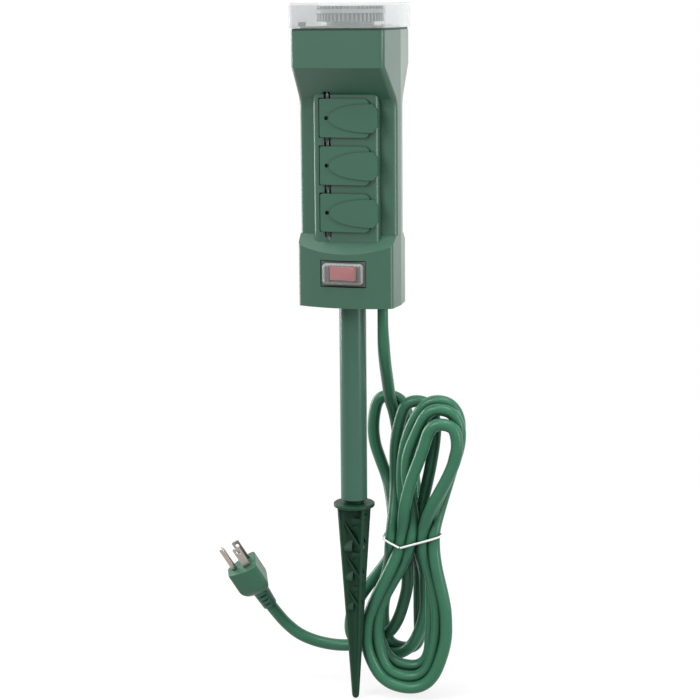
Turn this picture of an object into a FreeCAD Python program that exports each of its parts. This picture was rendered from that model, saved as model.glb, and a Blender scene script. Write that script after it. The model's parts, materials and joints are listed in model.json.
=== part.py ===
import FreeCAD, Part
import math
import os

# Garden socket spike: six covered outlets on a short mast, with a 24 hour dial
# timer under a clear lid, a lit switch, a pole, a ground stake and a tied lead.
# Millimetres. Z runs up the pole, the front faces -Y, the origin is the stake's tip.

V = FreeCAD.Vector
X, Y, Z = V(1, 0, 0), V(0, 1, 0), V(0, 0, 1)
O = V(0, 0, 0)

# Heights of the main forms above the stake's tip
STAKE_TOP = 169.0
COLLAR_T = 3.0
NECK_H = 3.5
POLE_D = 22.0
POLE_WALL = 1.5
POLE_IN = 42.0
HOUSING_BOTTOM = 340.0
POLE_TOP = HOUSING_BOTTOM + POLE_IN
HOUSING_TOP = 559.8
BASE_H = 50.0
LEDGE_EDGE_Z = HOUSING_BOTTOM + BASE_H
LEDGE_SLOPE = 0.8
TIMER_BOX_H = 28.8
SHOULDER_H = 28.0
SHOULDER_Z = HOUSING_TOP - TIMER_BOX_H
THROAT_Z = SHOULDER_Z - SHOULDER_H

# Housing plan
HALF_W = 41.0
SIDE_DRAFT = 0.084
TOP_DEPTH = 40.6
WAIST_DEPTH = 11.2
BASE_DEPTH = 20.7
BASE_BOW = 8.0
WALL = 2.5
SPLIT_GAP = 0.1
CORNER_R = 4.5
BASE_CORNER_R = 4.0

# Outlet panel that stands out of the waist
PANEL_HALF_W = 27.0
PANEL_DEPTH = 18.0
PANEL_R = 4.0

# Outlets, front and rear alike, as many rows as the waist has room for
OUTLET_PITCH = 37.6
OUTLET_RAISE = 7.0
OUTLET_ROWS = int((THROAT_Z - LEDGE_EDGE_Z) // OUTLET_PITCH)
OUTLET_MID_Z = (LEDGE_EDGE_Z + THROAT_Z) / 2 + OUTLET_RAISE
WELL_W = 28.8
WELL_H = 26.0
WELL_X = 4.0
WELL_DEEP = 4.7
INSERT_T = 10.4
INSERT_GAP = 0.15
BLADE_SPACING = 12.7
BLADE_SLOT_W = 1.9
BLADE_SLOT_H = 7.2
NEUTRAL_SLOT_H = 8.6
GROUND_DROP = 11.9
BLADE_RISE = 4.2
GROUND_HOLE_D = 5.4

# Outlet flaps and their hinge
FLAP_LEFT = -20.4
FLAP_RIGHT = 20.3
FLAP_H = 30.4
FLAP_T = 2.4
FLAP_GAP = 0.3
FLAP_R_HINGE = 1.6
FLAP_R_FREE = 4.4
TONGUE_T = 1.2
TONGUE_START = -12.4
TONGUE_HALF_H = 11.1
TAB_TIP = 27.6
TAB_TIP_HALF_H = 6.3
HINGE_X = -14.7
HINGE_Y = -17.2
HINGE_ROD_D = 2.6
ROD_CLEAR = 0.08
KNUCKLE_D = 4.8
KNUCKLE_SHORT = 1.2
HINGE_HOLE_D = 3.4
POCKET_CLEAR = 0.5
ROD_END_REACH = 3.0
SPRING_WIRE = 0.7
SPRING_GAP = 0.35
SPRING_TURNS = 4
SPRING_END_GAP = 0.6
SPRING_ROOM = 0.3

# Timer deck and clear lid
DECK_FLANGE_T = 3.3
DECK_RISE = 2.8
DECK_INSET = 6.0
FIT = 0.2
GASKET_T = 1.4
LID_GAP = 0.3
LID_PROUD = 1.2
LID_WALL = 1.8
LID_ROOM = 1.2
LID_TOP_T = 2.0
LID_CORNER_R = 5.0
LID_HINGE_BACK = 4.6
LID_BARREL_D = 5.6
LID_PIN_D = 2.8
LID_BARREL_HALF = 14.0
LID_EAR_W = 7.6
LID_EAR_GAP = 0.4
LID_CATCH_Y = 8.0

# Dial, its trippers and the clockwork below it
DIAL_RIM = 1.2
DIAL_LIFT = 0.3
DIAL_RING_UNDER = 9.9
DIAL_RING_T = 3.2
DIAL_DRUM_R = 19.0
DIAL_KNOB_R = 12.0
DIAL_KNOB_H = 1.8
SPINDLE_R = 4.0
TRIPPERS = 48
TRIPPER_R = 23.9
TRIPPER_RADIAL = 5.4
DIAL_R = TRIPPER_R + TRIPPER_RADIAL / 2 + DIAL_RIM
TRIPPER_TANGENT = 1.7
TRIPPER_UNDER = 3.3
TRIPPER_TRAVEL = 2.2
TRIPPER_CLEAR = 0.12
LEVER_GAP = 0.3
GEAR_MODULE = 0.8
GEAR_T = 3.5
DIAL_TEETH = 40
WHEEL_TEETH = 36
PINION_TEETH = 10
GEAR_BACKLASH = 0.3
MESH_CLEAR = 0.2
DIAL_GEAR_Z = HOUSING_TOP - 12.8
WHEEL_Z = DIAL_GEAR_Z - 6.5
ARBOR_R = 1.5
ARBOR_CLEAR = 0.08
PLATE_Z = WHEEL_Z - 5.5
PLATE_T = 2.5
POST_R = 2.5
POST_IN_X = 12.0
POST_IN_Y = 10.6
POST_FRONT_Y = -12.0
POST_RIGHT_X = 21.0
POST_REAR_SHIFT = 1.2
PLATE_MARGIN = 4.0
MOTOR_R = 12.0
MOTOR_H = 10.0
MOTOR_BEARING = 200.0

# Contact strips between the outlets, in three layers
BUS_T = 0.8
BUS_APART = 1.4
BUS_PAST_TOP = 12.0
BUS_PAST_LOW = 14.0
NEUTRAL_HALF_W = 4.4
LINE_HALF_W = 2.2
GROUND_BAR_X = 7.0
GROUND_BAR_HALF_W = 0.7
GROUND_ARM_HALF_H = 2.0
GROUND_WINDOW = 3.0
LEAF_T = 0.6
LEAF_SPREAD = 1.55
LEAF_W = 6.0
GROUND_LEAF_W = 3.6
LEAF_IN = 3.0

# Mode slide and pointer on the deck
MODE_IN_X = 14.0
MODE_IN_Y = 9.6
MODE_X = -(HALF_W - MODE_IN_X)
MODE_Y = -(TOP_DEPTH - MODE_IN_Y)
MODE_W = 13.0

# Rocker switch in the base
SWITCH_RISE = 27.8
SWITCH_Z = HOUSING_BOTTOM + SWITCH_RISE
BEZEL_W = 37.6
BEZEL_H = 21.4
BEZEL_FRONT = -27.0
BEZEL_T = 2.6
BOOT_W = 33.4
BOOT_H = 17.2
BOOT_WALL = 0.9
BOOT_PROUD = 4.6
ROCKER_PLAY = 0.5
BEZEL_SHOW = 1.4
ROCKER_W = 21.0
ROCKER_H = 10.8
ROCKER_TILT = 8.0
ROCKER_AXIS_Y = -22.0
ROCKER_DEEP = 6.9
SWITCH_BODY_W = 25.0
SWITCH_BODY_H = 15.0
SWITCH_BODY_T = 9.8

# Stake
RIDGE_R_TOP = 15.3
RIDGE_R_TIP = 2.9
RIDGE_W_TOP = 2.8
RIDGE_W_TIP = 2.0
FLUTE_R_TOP = 5.2
FLUTE_R_TIP = 2.2
COLLAR_D = 34.2
NECK_D = 15.8
SPIGOT_H = 26.0
WEB_PITCH = 30.0
WEB_TOP_Z = 158.0
WEB_T = 1.4
WEB_COUNT = 3

# Screws that close the housing
SCREW_X = 33.2
SCREW_ZS = (HOUSING_BOTTOM + 34.0, (LEDGE_EDGE_Z + THROAT_Z) / 2, THROAT_Z + 9.0)
SCREW_D = 3.0
SCREW_HEAD_D = 5.6
SCREW_SEAT_Y = 7.4
BOSS_D = 7.6
SCREW_L = 16.0

# Cord, from the grommet to the hank beside the pole and on to the plug
CORD_D = 8.8
CORD_X = 25.4
GROMMET_D = 13.4
GROMMET_DROP = 3.2
LEAD_POINTS = [
    (25.4, 0.0, 336.8),
    (25.4, 0.0, 322.0),
    (24.8, 4.5, 305.0),
    (23.6, 13.0, 289.5),
    (22.5, 23.0, 276.0),
    (21.7, 31.5, 263.5),
]
TAIL_POINTS = [
    (29.0, 34.0, 60.0),
    (19.8, 33.6, 46.9),
    (2.9, 34.0, 36.8),
    (-18.3, 34.6, 30.8),
    (-40.3, 34.0, 29.8),
    (-59.6, 32.0, 36.0),
    (-73.8, 29.0, 49.6),
    (-82.6, 25.5, 66.1),
]

# The hank: five top loops and five bottom bends through eleven places at the tie
WAIST_Z = 140.0
# Top loop: depth, left (x, z, slope), crown (x, z), right (x, z, slope)
LOBES = {
    "E": (2.5, (48.6, 206.3, 0.38), (75.5, 241.8), (87.0, 224.0, 0.05)),
    "D": (12.0, (47.0, 221.0, 0.42), (72.0, 252.0), (87.2, 233.0, 0.0)),
    "C": (21.4, (44.5, 231.0, 0.38), (68.5, 257.0), (84.8, 238.0, 0.0)),
    "B": (30.8, (29.0, 224.0, 0.16), (47.5, 254.0), (62.0, 229.0, 0.06)),
    "A": (49.6, (3.5, 222.0, -0.03), (18.5, 253.0), (33.5, 234.0, 0.0)),
}
# Bottom bend: depth, left (x, z, slope), crown (x, z), right (x, z, slope)
BENDS = {
    "b3": (9.8, (7.0, 54.0, 0.0), (40.0, 9.6), (76.6, 70.0, 0.0)),
    "b4": (15.4, (16.6, 60.0, 0.0), (38.5, 18.6), (63.6, 76.0, 0.0)),
    "b1": (24.8, (14.5, 58.0, 0.0), (37.0, 25.0), (58.2, 86.0, 0.0)),
    "b2": (43.4, (-17.0, 48.0, 0.0), (16.0, 26.0), (50.5, 80.0, 0.0)),
    "b5": (52.8, (11.0, 60.0, 0.0), (27.0, 29.0), (42.5, 78.0, 0.0)),
}
# Place at the tie: x, y, lean, share of the height in which depth changes, up and down
SLOTS = {
    "B_L": (25.9, 12.0, 0.10, 0.62, 0.42),
    "E_L": (36.9, 12.0, 0.20, 0.30, 0.35),
    "D_L": (46.7, 12.0, 0.20, 0.50, 0.30),
    "E_R": (59.4, 12.0, 0.0, 0.32, 0.60),
    "C_R": (71.4, 12.0, 0.0, 0.36, 0.40),
    "A_L": (24.9, 22.0, 0.0, 0.62, 0.34),
    "C_L": (37.1, 21.3, 0.0, 0.50, 1.00),
    "B_R": (50.7, 20.9, 0.0, 0.62, 0.80),
    "D_R": (60.1, 21.6, 0.0, 0.36, 0.50),
    "A_R": (44.2, 28.6, 0.0, 0.50, 0.80),
    "lead": (34.4, 31.4, 0.0, 0.62, 0.90),
}
# The way the cord takes: down on the left, round the bend, up on the right, over the loop
CORD_ORDER = [
    ("lead", "b5", "A_R", "A"),
    ("A_L", "b2", "B_R", "B"),
    ("B_L", "b1", "D_R", "D"),
    ("D_L", "b4", "E_R", "E"),
    ("E_L", "b3", "C_R", "C"),
]
LIMB_STEPS = (0.3, 0.6)
LEAD_SIDE = (40.2, (25.3, 236.0, -0.18))
TAIL_SIDE = (34.0, (34.6, 80.0, 0.28))
TIE_D = 1.8
TIE_GAP = 1.0
TIE_TILT = 9.0

# Plug, from the end of its strain relief to the face, and its pins
PLUG_BACK = (-88.9, 20.0, 79.7)
PLUG_WAY = (-0.392, -0.346, 0.851)
PLUG_ROLL = 22.0
PLUG_LENGTH = 36.5
HEAD_WIDE = 24.6
HEAD_NARROW = 12.6
HEAD_TOP = 10.2
HEAD_FOOT = 13.6
HEAD_CORNER_R = 3.0
RELIEF_L = 14.0
RELIEF_R = 5.9
RELIEF_SLOTS = 3
BLADES_UP = 3.4
BLADE_T = 1.5
BLADE_W = 6.4
BLADE_L = 17.5
PIN_R = 2.4
PIN_L = 21.0


def box(x0, x1, y0, y1, z0, z1):
    return Part.makeBox(x1 - x0, y1 - y0, z1 - z0, V(x0, y0, z0))


def rod(radius, start, end):
    way = end - start
    return Part.makeCylinder(radius, way.Length, start, way)


def tube(outer_r, inner_r, start, end):
    way = (end - start).normalize()
    return rod(outer_r, start, end).cut(rod(inner_r, start - way, end + way))


def prism(points, vector):
    wire = Part.makePolygon([V(*p) for p in points] + [V(*points[0])])
    return Part.Face(wire).extrude(vector)


def group(solids):
    return Part.makeCompound(solids)


def turned(shape):
    """The same piece on the rear side."""
    copy = shape.copy()
    copy.rotate(O, Z, 180)
    return copy


def save(name, shape):
    shape.exportStep("parts/" + name + ".step")


def upright_edges(shape, test):
    found = []
    for edge in shape.Edges:
        a, b = edge.Vertexes[0].Point, edge.Vertexes[-1].Point
        if abs(a.x - b.x) < 0.01 and abs(a.y - b.y) < 0.01 and abs(a.z - b.z) > 1:
            if test(a):
                found.append(edge)
    return found


def half_width(y, inset=0.0):
    return HALF_W - SIDE_DRAFT * abs(y) - inset


# Housing forms. Each takes an inset, so the cavity follows the same walls.


def waist_and_top(inset):
    """Front half of the waist, the shoulder and the timer box, as one profile."""
    rise = TOP_DEPTH - WAIST_DEPTH
    fall = SHOULDER_Z - THROAT_Z
    shift = inset * (math.hypot(rise, fall) - fall) / rise
    knee = 0.14
    waist_y = -(WAIST_DEPTH - inset)
    top_y = -(TOP_DEPTH - inset)
    bend = V(0, waist_y - knee * rise, THROAT_Z + shift + knee * fall)
    low = V(0, waist_y, THROAT_Z + shift - 5)
    middle = V(0, waist_y - 0.035 * rise, THROAT_Z + shift - 0.3)
    bottom = HOUSING_BOTTOM + 20 + inset
    edges = [
        Part.makeLine(V(0, 0, bottom), V(0, waist_y, bottom)),
        Part.makeLine(V(0, waist_y, bottom), low),
        Part.Arc(low, middle, bend).toShape(),
        Part.makeLine(bend, V(0, top_y, SHOULDER_Z + shift)),
        Part.makeLine(V(0, top_y, SHOULDER_Z + shift), V(0, top_y, HOUSING_TOP)),
        Part.makeLine(V(0, top_y, HOUSING_TOP), V(0, 0, HOUSING_TOP)),
        Part.makeLine(V(0, 0, HOUSING_TOP), V(0, 0, bottom)),
    ]
    profile = Part.Face(Part.Wire(edges))
    profile.translate(V(-HALF_W - 5, 0, 0))
    return profile.extrude(V(2 * HALF_W + 10, 0, 0))


def side_plan(depth, inset):
    """Plan between the drafted sides, from the split plane to a depth."""
    w0, w1 = half_width(0, inset), half_width(depth, inset)
    z0, z1 = HOUSING_BOTTOM - 5, HOUSING_TOP + 5
    return prism([(-w0, 0, z0), (w0, 0, z0), (w1, -depth, z0), (-w1, -depth, z0)], V(0, 0, z1 - z0))


def base_block(inset):
    """Bowed base with its sloping ledge."""
    depth = BASE_DEPTH - inset
    w0, w1 = half_width(0, inset), half_width(BASE_DEPTH, inset)
    z0 = HOUSING_BOTTOM + inset
    bow = [
        Part.makeLine(V(w0, 0, z0), V(-w0, 0, z0)),
        Part.makeLine(V(-w0, 0, z0), V(-w1, -depth, z0)),
        Part.Arc(V(-w1, -depth, z0), V(0, -depth - BASE_BOW, z0), V(w1, -depth, z0)).toShape(),
        Part.makeLine(V(w1, -depth, z0), V(w0, 0, z0)),
    ]
    block = Part.Face(Part.Wire(bow)).extrude(V(0, 0, LEDGE_EDGE_Z + 30 - z0))
    shift = inset * (math.hypot(1, LEDGE_SLOPE) - 1) + inset * LEDGE_SLOPE
    back_z = LEDGE_EDGE_Z + (BASE_DEPTH - WAIST_DEPTH) * LEDGE_SLOPE - inset - shift * 0.4
    waist_y = -(WAIST_DEPTH - inset)
    reach = BASE_DEPTH + BASE_BOW + 10
    front_z = back_z - (reach - WAIST_DEPTH) * LEDGE_SLOPE
    under = prism(
        [
            (-HALF_W - 5, 0, HOUSING_BOTTOM - 5),
            (-HALF_W - 5, -reach, HOUSING_BOTTOM - 5),
            (-HALF_W - 5, -reach, front_z),
            (-HALF_W - 5, waist_y, back_z),
            (-HALF_W - 5, 0, back_z),
        ],
        V(2 * HALF_W + 10, 0, 0),
    )
    return block.common(under)


def outlet_zs():
    middle = (OUTLET_ROWS - 1) / 2
    return [OUTLET_MID_Z + (middle - row) * OUTLET_PITCH for row in range(OUTLET_ROWS)]


def panel():
    top = SHOULDER_Z - 8
    bottom = LEDGE_EDGE_Z - 6
    block = box(-PANEL_HALF_W, PANEL_HALF_W, -PANEL_DEPTH, -WAIST_DEPTH + WALL, bottom, top)
    edges = upright_edges(block, lambda p: p.y < -PANEL_DEPTH + 0.01)
    return block.makeFillet(PANEL_R, edges)


def slot_ends():
    zs = outlet_zs()
    rim = FLAP_H / 2 + POCKET_CLEAR
    return zs[-1] - rim - 4.0, zs[0] + rim + 5.0


def pocket_depth_y():
    overhang = HINGE_X - FLAP_LEFT
    outer = PANEL_DEPTH + FLAP_GAP + FLAP_T + HINGE_Y
    return HINGE_Y + math.hypot(overhang, outer) + POCKET_CLEAR


def panel_cuts():
    """Wells for the outlets, pockets for the flaps' hinge edge, slot and rod holes."""
    cuts = []
    knuckle = KNUCKLE_D / 2 + 0.3
    face = -PANEL_DEPTH - 5
    for z in outlet_zs():
        w, h = WELL_W / 2, WELL_H / 2
        cuts.append(box(WELL_X - w, WELL_X + w, face, 0, z - h, z + h))
        rim = FLAP_H / 2 + POCKET_CLEAR
        left = FLAP_LEFT - 1.4
        cuts.append(box(left, HINGE_X + knuckle, face, pocket_depth_y(), z - rim, z + rim))
    low, high = slot_ends()
    cuts.append(box(HINGE_X - knuckle, HINGE_X + knuckle, face, HINGE_Y + knuckle, low, high))
    hole = HINGE_ROD_D / 2 + 0.05
    cuts.append(rod(hole, V(HINGE_X, HINGE_Y, low - ROD_END_REACH - 0.2), V(HINGE_X, HINGE_Y, low + 1)))
    cuts.append(rod(hole, V(HINGE_X, HINGE_Y, high - 1), V(HINGE_X, HINGE_Y, high + ROD_END_REACH + 0.2)))
    return cuts


def housing_half():
    """Front half of the housing as a shell, before what only one side has."""
    upper = waist_and_top(0.0).common(side_plan(TOP_DEPTH + 1, 0.0))
    upper_corners = [
        e
        for e in upper.Edges
        if min(abs(abs(p.Point.x) - half_width(p.Point.y)) for p in e.Vertexes) < 0.02
        and max(p.Point.y for p in e.Vertexes) < -WAIST_DEPTH + 0.02
        and abs(e.Vertexes[0].Point.z - e.Vertexes[-1].Point.z) > 1
    ]
    upper = upper.makeFillet(CORNER_R, upper_corners)
    base = base_block(0.0)
    edges = upright_edges(base, lambda p: p.y < -BASE_DEPTH + 0.05)
    base = base.makeFillet(BASE_CORNER_R, edges)
    solid = upper.fuse(base).fuse(panel())
    inner = waist_and_top(WALL).common(side_plan(TOP_DEPTH + 1, WALL)).fuse(base_block(WALL))
    top_inner = waist_and_top(WALL).common(side_plan(TOP_DEPTH + 1, WALL))
    top_inner = top_inner.common(box(-HALF_W, HALF_W, -TOP_DEPTH, 1, SHOULDER_Z, HOUSING_TOP))
    top_inner.translate(V(0, 0, WALL))
    return solid, solid.cut(inner).cut(top_inner).removeSplitter()


def switch_seat():
    w, h = BEZEL_W / 2, BEZEL_H / 2
    back = BEZEL_FRONT + BEZEL_T
    return box(-w - 2, w + 2, back - 2, back + 2, SWITCH_Z - h - 2, SWITCH_Z + h + 2)


def switch_recess():
    w, h = BEZEL_W / 2 + 0.15, BEZEL_H / 2 + 0.15
    back = BEZEL_FRONT + BEZEL_T
    recess = box(-w, w, back - 20, back, SWITCH_Z - h, SWITCH_Z + h)
    bw, bh = SWITCH_BODY_W / 2 + 0.15, SWITCH_BODY_H / 2 + 0.15
    return recess.fuse(box(-bw, bw, back - 1, back + 5, SWITCH_Z - bh, SWITCH_Z + bh))


def base_holes():
    pole = rod(POLE_D / 2 + 0.1, V(0, 0, HOUSING_BOTTOM - 5), V(0, 0, HOUSING_BOTTOM + 10))
    neck = GROMMET_D / 2 - 1.2 + 0.1
    cord = rod(neck, V(CORD_X, 0, HOUSING_BOTTOM - 5), V(CORD_X, 0, HOUSING_BOTTOM + 10))
    return [pole, cord]


def screw_spots():
    return [(side * SCREW_X, z) for z in SCREW_ZS for side in (-1, 1)]


def housing_front():
    solid, shell = housing_half()
    bosses = [rod(BOSS_D / 2, V(x, -TOP_DEPTH, z), V(x, 0, z)) for x, z in screw_spots()]
    bosses = [boss.common(solid) for boss in bosses]
    shell = shell.fuse(bosses + [switch_seat()])
    tip = SCREW_SEAT_Y - SCREW_L
    pilots = [rod(SCREW_D / 2 + 0.05, V(x, tip - 0.3, z), V(x, 1, z)) for x, z in screw_spots()]
    return shell.cut(panel_cuts() + pilots + [switch_recess()] + base_holes())


def housing_rear():
    solid, shell = housing_half()
    bosses = [rod(BOSS_D / 2 + 1.0, V(x, -TOP_DEPTH, z), V(x, 0, z)) for x, z in screw_spots()]
    bosses = [boss.common(solid) for boss in bosses]
    shell = shell.fuse(bosses)
    holes = []
    for x, z in screw_spots():
        holes.append(rod(SCREW_D / 2 + 0.2, V(x, -TOP_DEPTH, z), V(x, 1, z)))
        holes.append(rod(SCREW_HEAD_D / 2 + 0.4, V(x, -TOP_DEPTH, z), V(x, -SCREW_SEAT_Y, z)))
    half = turned(shell.cut(panel_cuts() + holes)).cut(base_holes())
    return half.fuse(lid_ears()).removeSplitter()


def housing_screws():
    screws = []
    for x, z in screw_spots():
        seat = V(x, SCREW_SEAT_Y, z)
        shank = rod(SCREW_D / 2, V(x, SCREW_SEAT_Y - SCREW_L, z), seat)
        head = rod(SCREW_HEAD_D / 2, seat, seat + V(0, 2.2, 0))
        slot = box(x - 2, x + 2, SCREW_SEAT_Y + 1.2, SCREW_SEAT_Y + 3, z - 0.4, z + 0.4)
        cross = box(x - 0.4, x + 0.4, SCREW_SEAT_Y + 1.2, SCREW_SEAT_Y + 3, z - 2, z + 2)
        screws.append(shank.fuse(head).cut([slot, cross]))
    return group(screws)


# Outlets


def outlet_face(z):
    w, h = WELL_W / 2 - INSERT_GAP, WELL_H / 2 - INSERT_GAP
    front = -PANEL_DEPTH + WELL_DEEP
    back = front + INSERT_T
    block = box(WELL_X - w, WELL_X + w, front, back, z - h, z + h)
    corners = [e for e in block.Edges if abs(e.Vertexes[0].Point.y - e.Vertexes[-1].Point.y) > 1]
    block = block.makeFillet(1.5, corners)
    blade_z = z + BLADE_RISE
    cuts = []
    for x, tall in ((WELL_X - BLADE_SPACING / 2, NEUTRAL_SLOT_H), (WELL_X + BLADE_SPACING / 2, BLADE_SLOT_H)):
        slot = BLADE_SLOT_W / 2
        cuts.append(box(x - slot, x + slot, front - 1, back, blade_z - tall / 2, blade_z + tall / 2))
        cuts.append(box(x - 2.6, x + 2.6, front + 2.4, back + 1, blade_z - 5, blade_z + 5))
    ground = blade_z - GROUND_DROP
    cuts.append(rod(GROUND_HOLE_D / 2, V(WELL_X, front - 1, ground), V(WELL_X, back, ground)))
    cuts.append(rod(3.6, V(WELL_X, front + 2.4, ground), V(WELL_X, back + 1, ground)))
    return block.cut(cuts)


def outlet_flap(z):
    """Spring flap: a plate, its raised tongue and finger tab, and a knuckle behind."""
    inner = -PANEL_DEPTH - FLAP_GAP
    outer = inner - FLAP_T
    h = FLAP_H / 2
    plate = box(FLAP_LEFT, FLAP_RIGHT, outer, inner, z - h, z + h)
    corners = [e for e in plate.Edges if abs(e.Vertexes[0].Point.y - e.Vertexes[-1].Point.y) > 1]
    hinge_side = [e for e in corners if e.Vertexes[0].Point.x < 0]
    plate = plate.makeFillet(FLAP_R_HINGE, hinge_side)
    free_side = [
        e
        for e in plate.Edges
        if abs(e.Vertexes[0].Point.y - e.Vertexes[-1].Point.y) > 1
        and min(p.Point.x for p in e.Vertexes) > FLAP_RIGHT - 0.01
    ]
    plate = plate.makeFillet(FLAP_R_FREE, free_side)
    curve = Part.Ellipse(V(FLAP_RIGHT, outer - TONGUE_T, z), FLAP_RIGHT - TONGUE_START, TONGUE_HALF_H)
    oval = Part.Face(Part.Wire(curve.toShape()))
    oval.rotate(V(FLAP_RIGHT, outer - TONGUE_T, z), X, 90)
    tongue = oval.extrude(V(0, TONGUE_T + FLAP_T / 2, 0))
    tongue = tongue.common(box(FLAP_LEFT, FLAP_RIGHT, outer - 5, inner, z - h, z + h))
    knee = FLAP_RIGHT + 0.45 * (TAB_TIP - FLAP_RIGHT)
    a, b = TONGUE_HALF_H, TAB_TIP_HALF_H
    tab = prism(
        [
            (FLAP_RIGHT - 1, outer - TONGUE_T, z - a),
            (knee, outer - TONGUE_T, z - a),
            (TAB_TIP, outer - TONGUE_T, z - b),
            (TAB_TIP, outer - TONGUE_T, z + b),
            (knee, outer - TONGUE_T, z + a),
            (FLAP_RIGHT - 1, outer - TONGUE_T, z + a),
        ],
        V(0, TONGUE_T + FLAP_T, 0),
    )
    knuckle_h = h - KNUCKLE_SHORT
    start, end = V(HINGE_X, HINGE_Y, z - knuckle_h), V(HINGE_X, HINGE_Y, z + knuckle_h)
    knuckle = rod(KNUCKLE_D / 2, start, end)
    flap = plate.fuse([tongue, tab, knuckle]).removeSplitter()
    ends = Z * (KNUCKLE_SHORT + 1)
    bore = rod(HINGE_ROD_D / 2 + ROD_CLEAR, start - ends, end + ends)
    spring_room = HINGE_ROD_D / 2 + SPRING_GAP + SPRING_WIRE + SPRING_ROOM
    relief = [rod(spring_room, start - ends, start), rod(spring_room, end, end + ends)]
    peep = rod(HINGE_HOLE_D / 2, V(HINGE_X, outer - 5, z), V(HINGE_X, HINGE_Y, z))
    return flap.cut([bore, peep] + relief)


def hinge_rod():
    low, high = slot_ends()
    return rod(
        HINGE_ROD_D / 2, V(HINGE_X, HINGE_Y, low - ROD_END_REACH), V(HINGE_X, HINGE_Y, high + ROD_END_REACH)
    )


def coil_spring(x, y, z0, radius, wire_d, turns, height):
    helix = Part.makeHelix(height / turns, height, radius)
    rise = height / turns / (2 * math.pi * radius)
    start = V(radius, 0, 0)
    way = V(0, 1, rise).normalize()
    side = X
    up = way.cross(side)
    points = []
    for k in range(6):
        a = math.pi * k / 3
        points.append(start + side * (wire_d / 2 * math.cos(a)) + up * (wire_d / 2 * math.sin(a)))
    profile = Part.makePolygon(points + [points[0]])
    spring = Part.Wire(helix.Edges).makePipeShell([profile], True, False)
    spring.translate(V(x, y, z0))
    return spring


def flap_springs():
    """One return spring on the rod below each flap's knuckle."""
    springs = []
    radius = HINGE_ROD_D / 2 + SPRING_GAP + SPRING_WIRE / 2
    room = OUTLET_PITCH - FLAP_H + 2 * KNUCKLE_SHORT
    height = room - 2 * SPRING_END_GAP - SPRING_WIRE
    for z in outlet_zs():
        end = z - FLAP_H / 2 + KNUCKLE_SHORT - SPRING_END_GAP - SPRING_WIRE / 2
        start = max(end - height, slot_ends()[0] + 0.3 + SPRING_WIRE / 2)
        springs.append(coil_spring(HINGE_X, HINGE_Y, start, radius, SPRING_WIRE, SPRING_TURNS, end - start))
    return group(springs)


def leaf_pair(x, z, y_from, y_to, wide):
    y0, y1 = min(y_from, y_to), max(y_from, y_to)
    leaves = []
    for side in (-1, 1):
        mid = x + side * LEAF_SPREAD
        half = LEAF_T / 2
        leaves.append(box(mid - half, mid + half, y0, y1, z - wide / 2, z + wide / 2))
    return leaves


def bus_bars():
    """Neutral, line and ground strips, one behind the other, each with spring leaves for the blades."""
    zs = outlet_zs()
    low, high = zs[-1] - BUS_PAST_LOW, zs[0] + BUS_PAST_TOP
    front, back = -PANEL_DEPTH + WELL_DEEP + LEAF_IN, PANEL_DEPTH - WELL_DEEP - LEAF_IN
    n_x, l_x, g_x = WELL_X - BLADE_SPACING / 2, WELL_X + BLADE_SPACING / 2, WELL_X
    half, apart = BUS_T / 2, BUS_APART
    neutral = box(-NEUTRAL_HALF_W, NEUTRAL_HALF_W, -apart - half, -apart + half, low, high)
    line = box(-l_x - LINE_HALF_W, -l_x + LINE_HALF_W, -half, half, low, high)
    line = line.fuse(box(l_x - LINE_HALF_W, l_x + LINE_HALF_W, -half, half, low, high))
    line = line.fuse(box(-l_x, l_x, -half, half, low, low + 2 * LINE_HALF_W))
    bar_low, bar_high = GROUND_BAR_X - GROUND_BAR_HALF_W, GROUND_BAR_X + GROUND_BAR_HALF_W
    ground = box(bar_low, bar_high, apart - half, apart + half, low, high)
    arm, room = GROUND_ARM_HALF_H, GROUND_WINDOW
    for z in zs:
        blade_z = z + BLADE_RISE
        g_z = blade_z - GROUND_DROP
        neutral = neutral.fuse(leaf_pair(n_x, blade_z, front, -apart, LEAF_W))
        neutral = neutral.fuse(leaf_pair(-n_x, blade_z, -apart, back, LEAF_W))
        neutral = neutral.cut(box(g_x - room, g_x + room, -3 * apart, 0, g_z - room, g_z + room))
        line = line.fuse(leaf_pair(l_x, blade_z, front, 0, LEAF_W) + leaf_pair(-l_x, blade_z, 0, back, LEAF_W))
        arms = box(-g_x - room, GROUND_BAR_X, apart - half, apart + half, g_z - arm, g_z + arm)
        leaves = leaf_pair(-g_x, g_z, apart, back, GROUND_LEAF_W)
        leaves += leaf_pair(g_x, g_z, front, apart, GROUND_LEAF_W)
        ground = ground.fuse([arms] + leaves)
    return neutral.removeSplitter(), line.removeSplitter(), ground.removeSplitter()


# Timer deck, gasket and clear lid


def plan_ring(inset, z, depth=TOP_DEPTH):
    """Outline of the timer box's mouth, both halves, as a closed wire."""
    w0 = half_width(0, inset)
    w1 = half_width(TOP_DEPTH, inset)
    d = depth - inset
    points = [V(w0, 0, z), V(w1, d, z), V(-w1, d, z), V(-w0, 0, z), V(-w1, -d, z), V(w1, -d, z)]
    return Part.makePolygon(points + [points[0]])


def slab(inset, z0, z1, radius):
    block = Part.Face(plan_ring(inset, z0)).extrude(V(0, 0, z1 - z0))
    corners = upright_edges(block, lambda p: abs(p.y) > 1)
    return block.makeFillet(radius, corners)


def deck_level():
    return HOUSING_TOP + DECK_RISE


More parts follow.
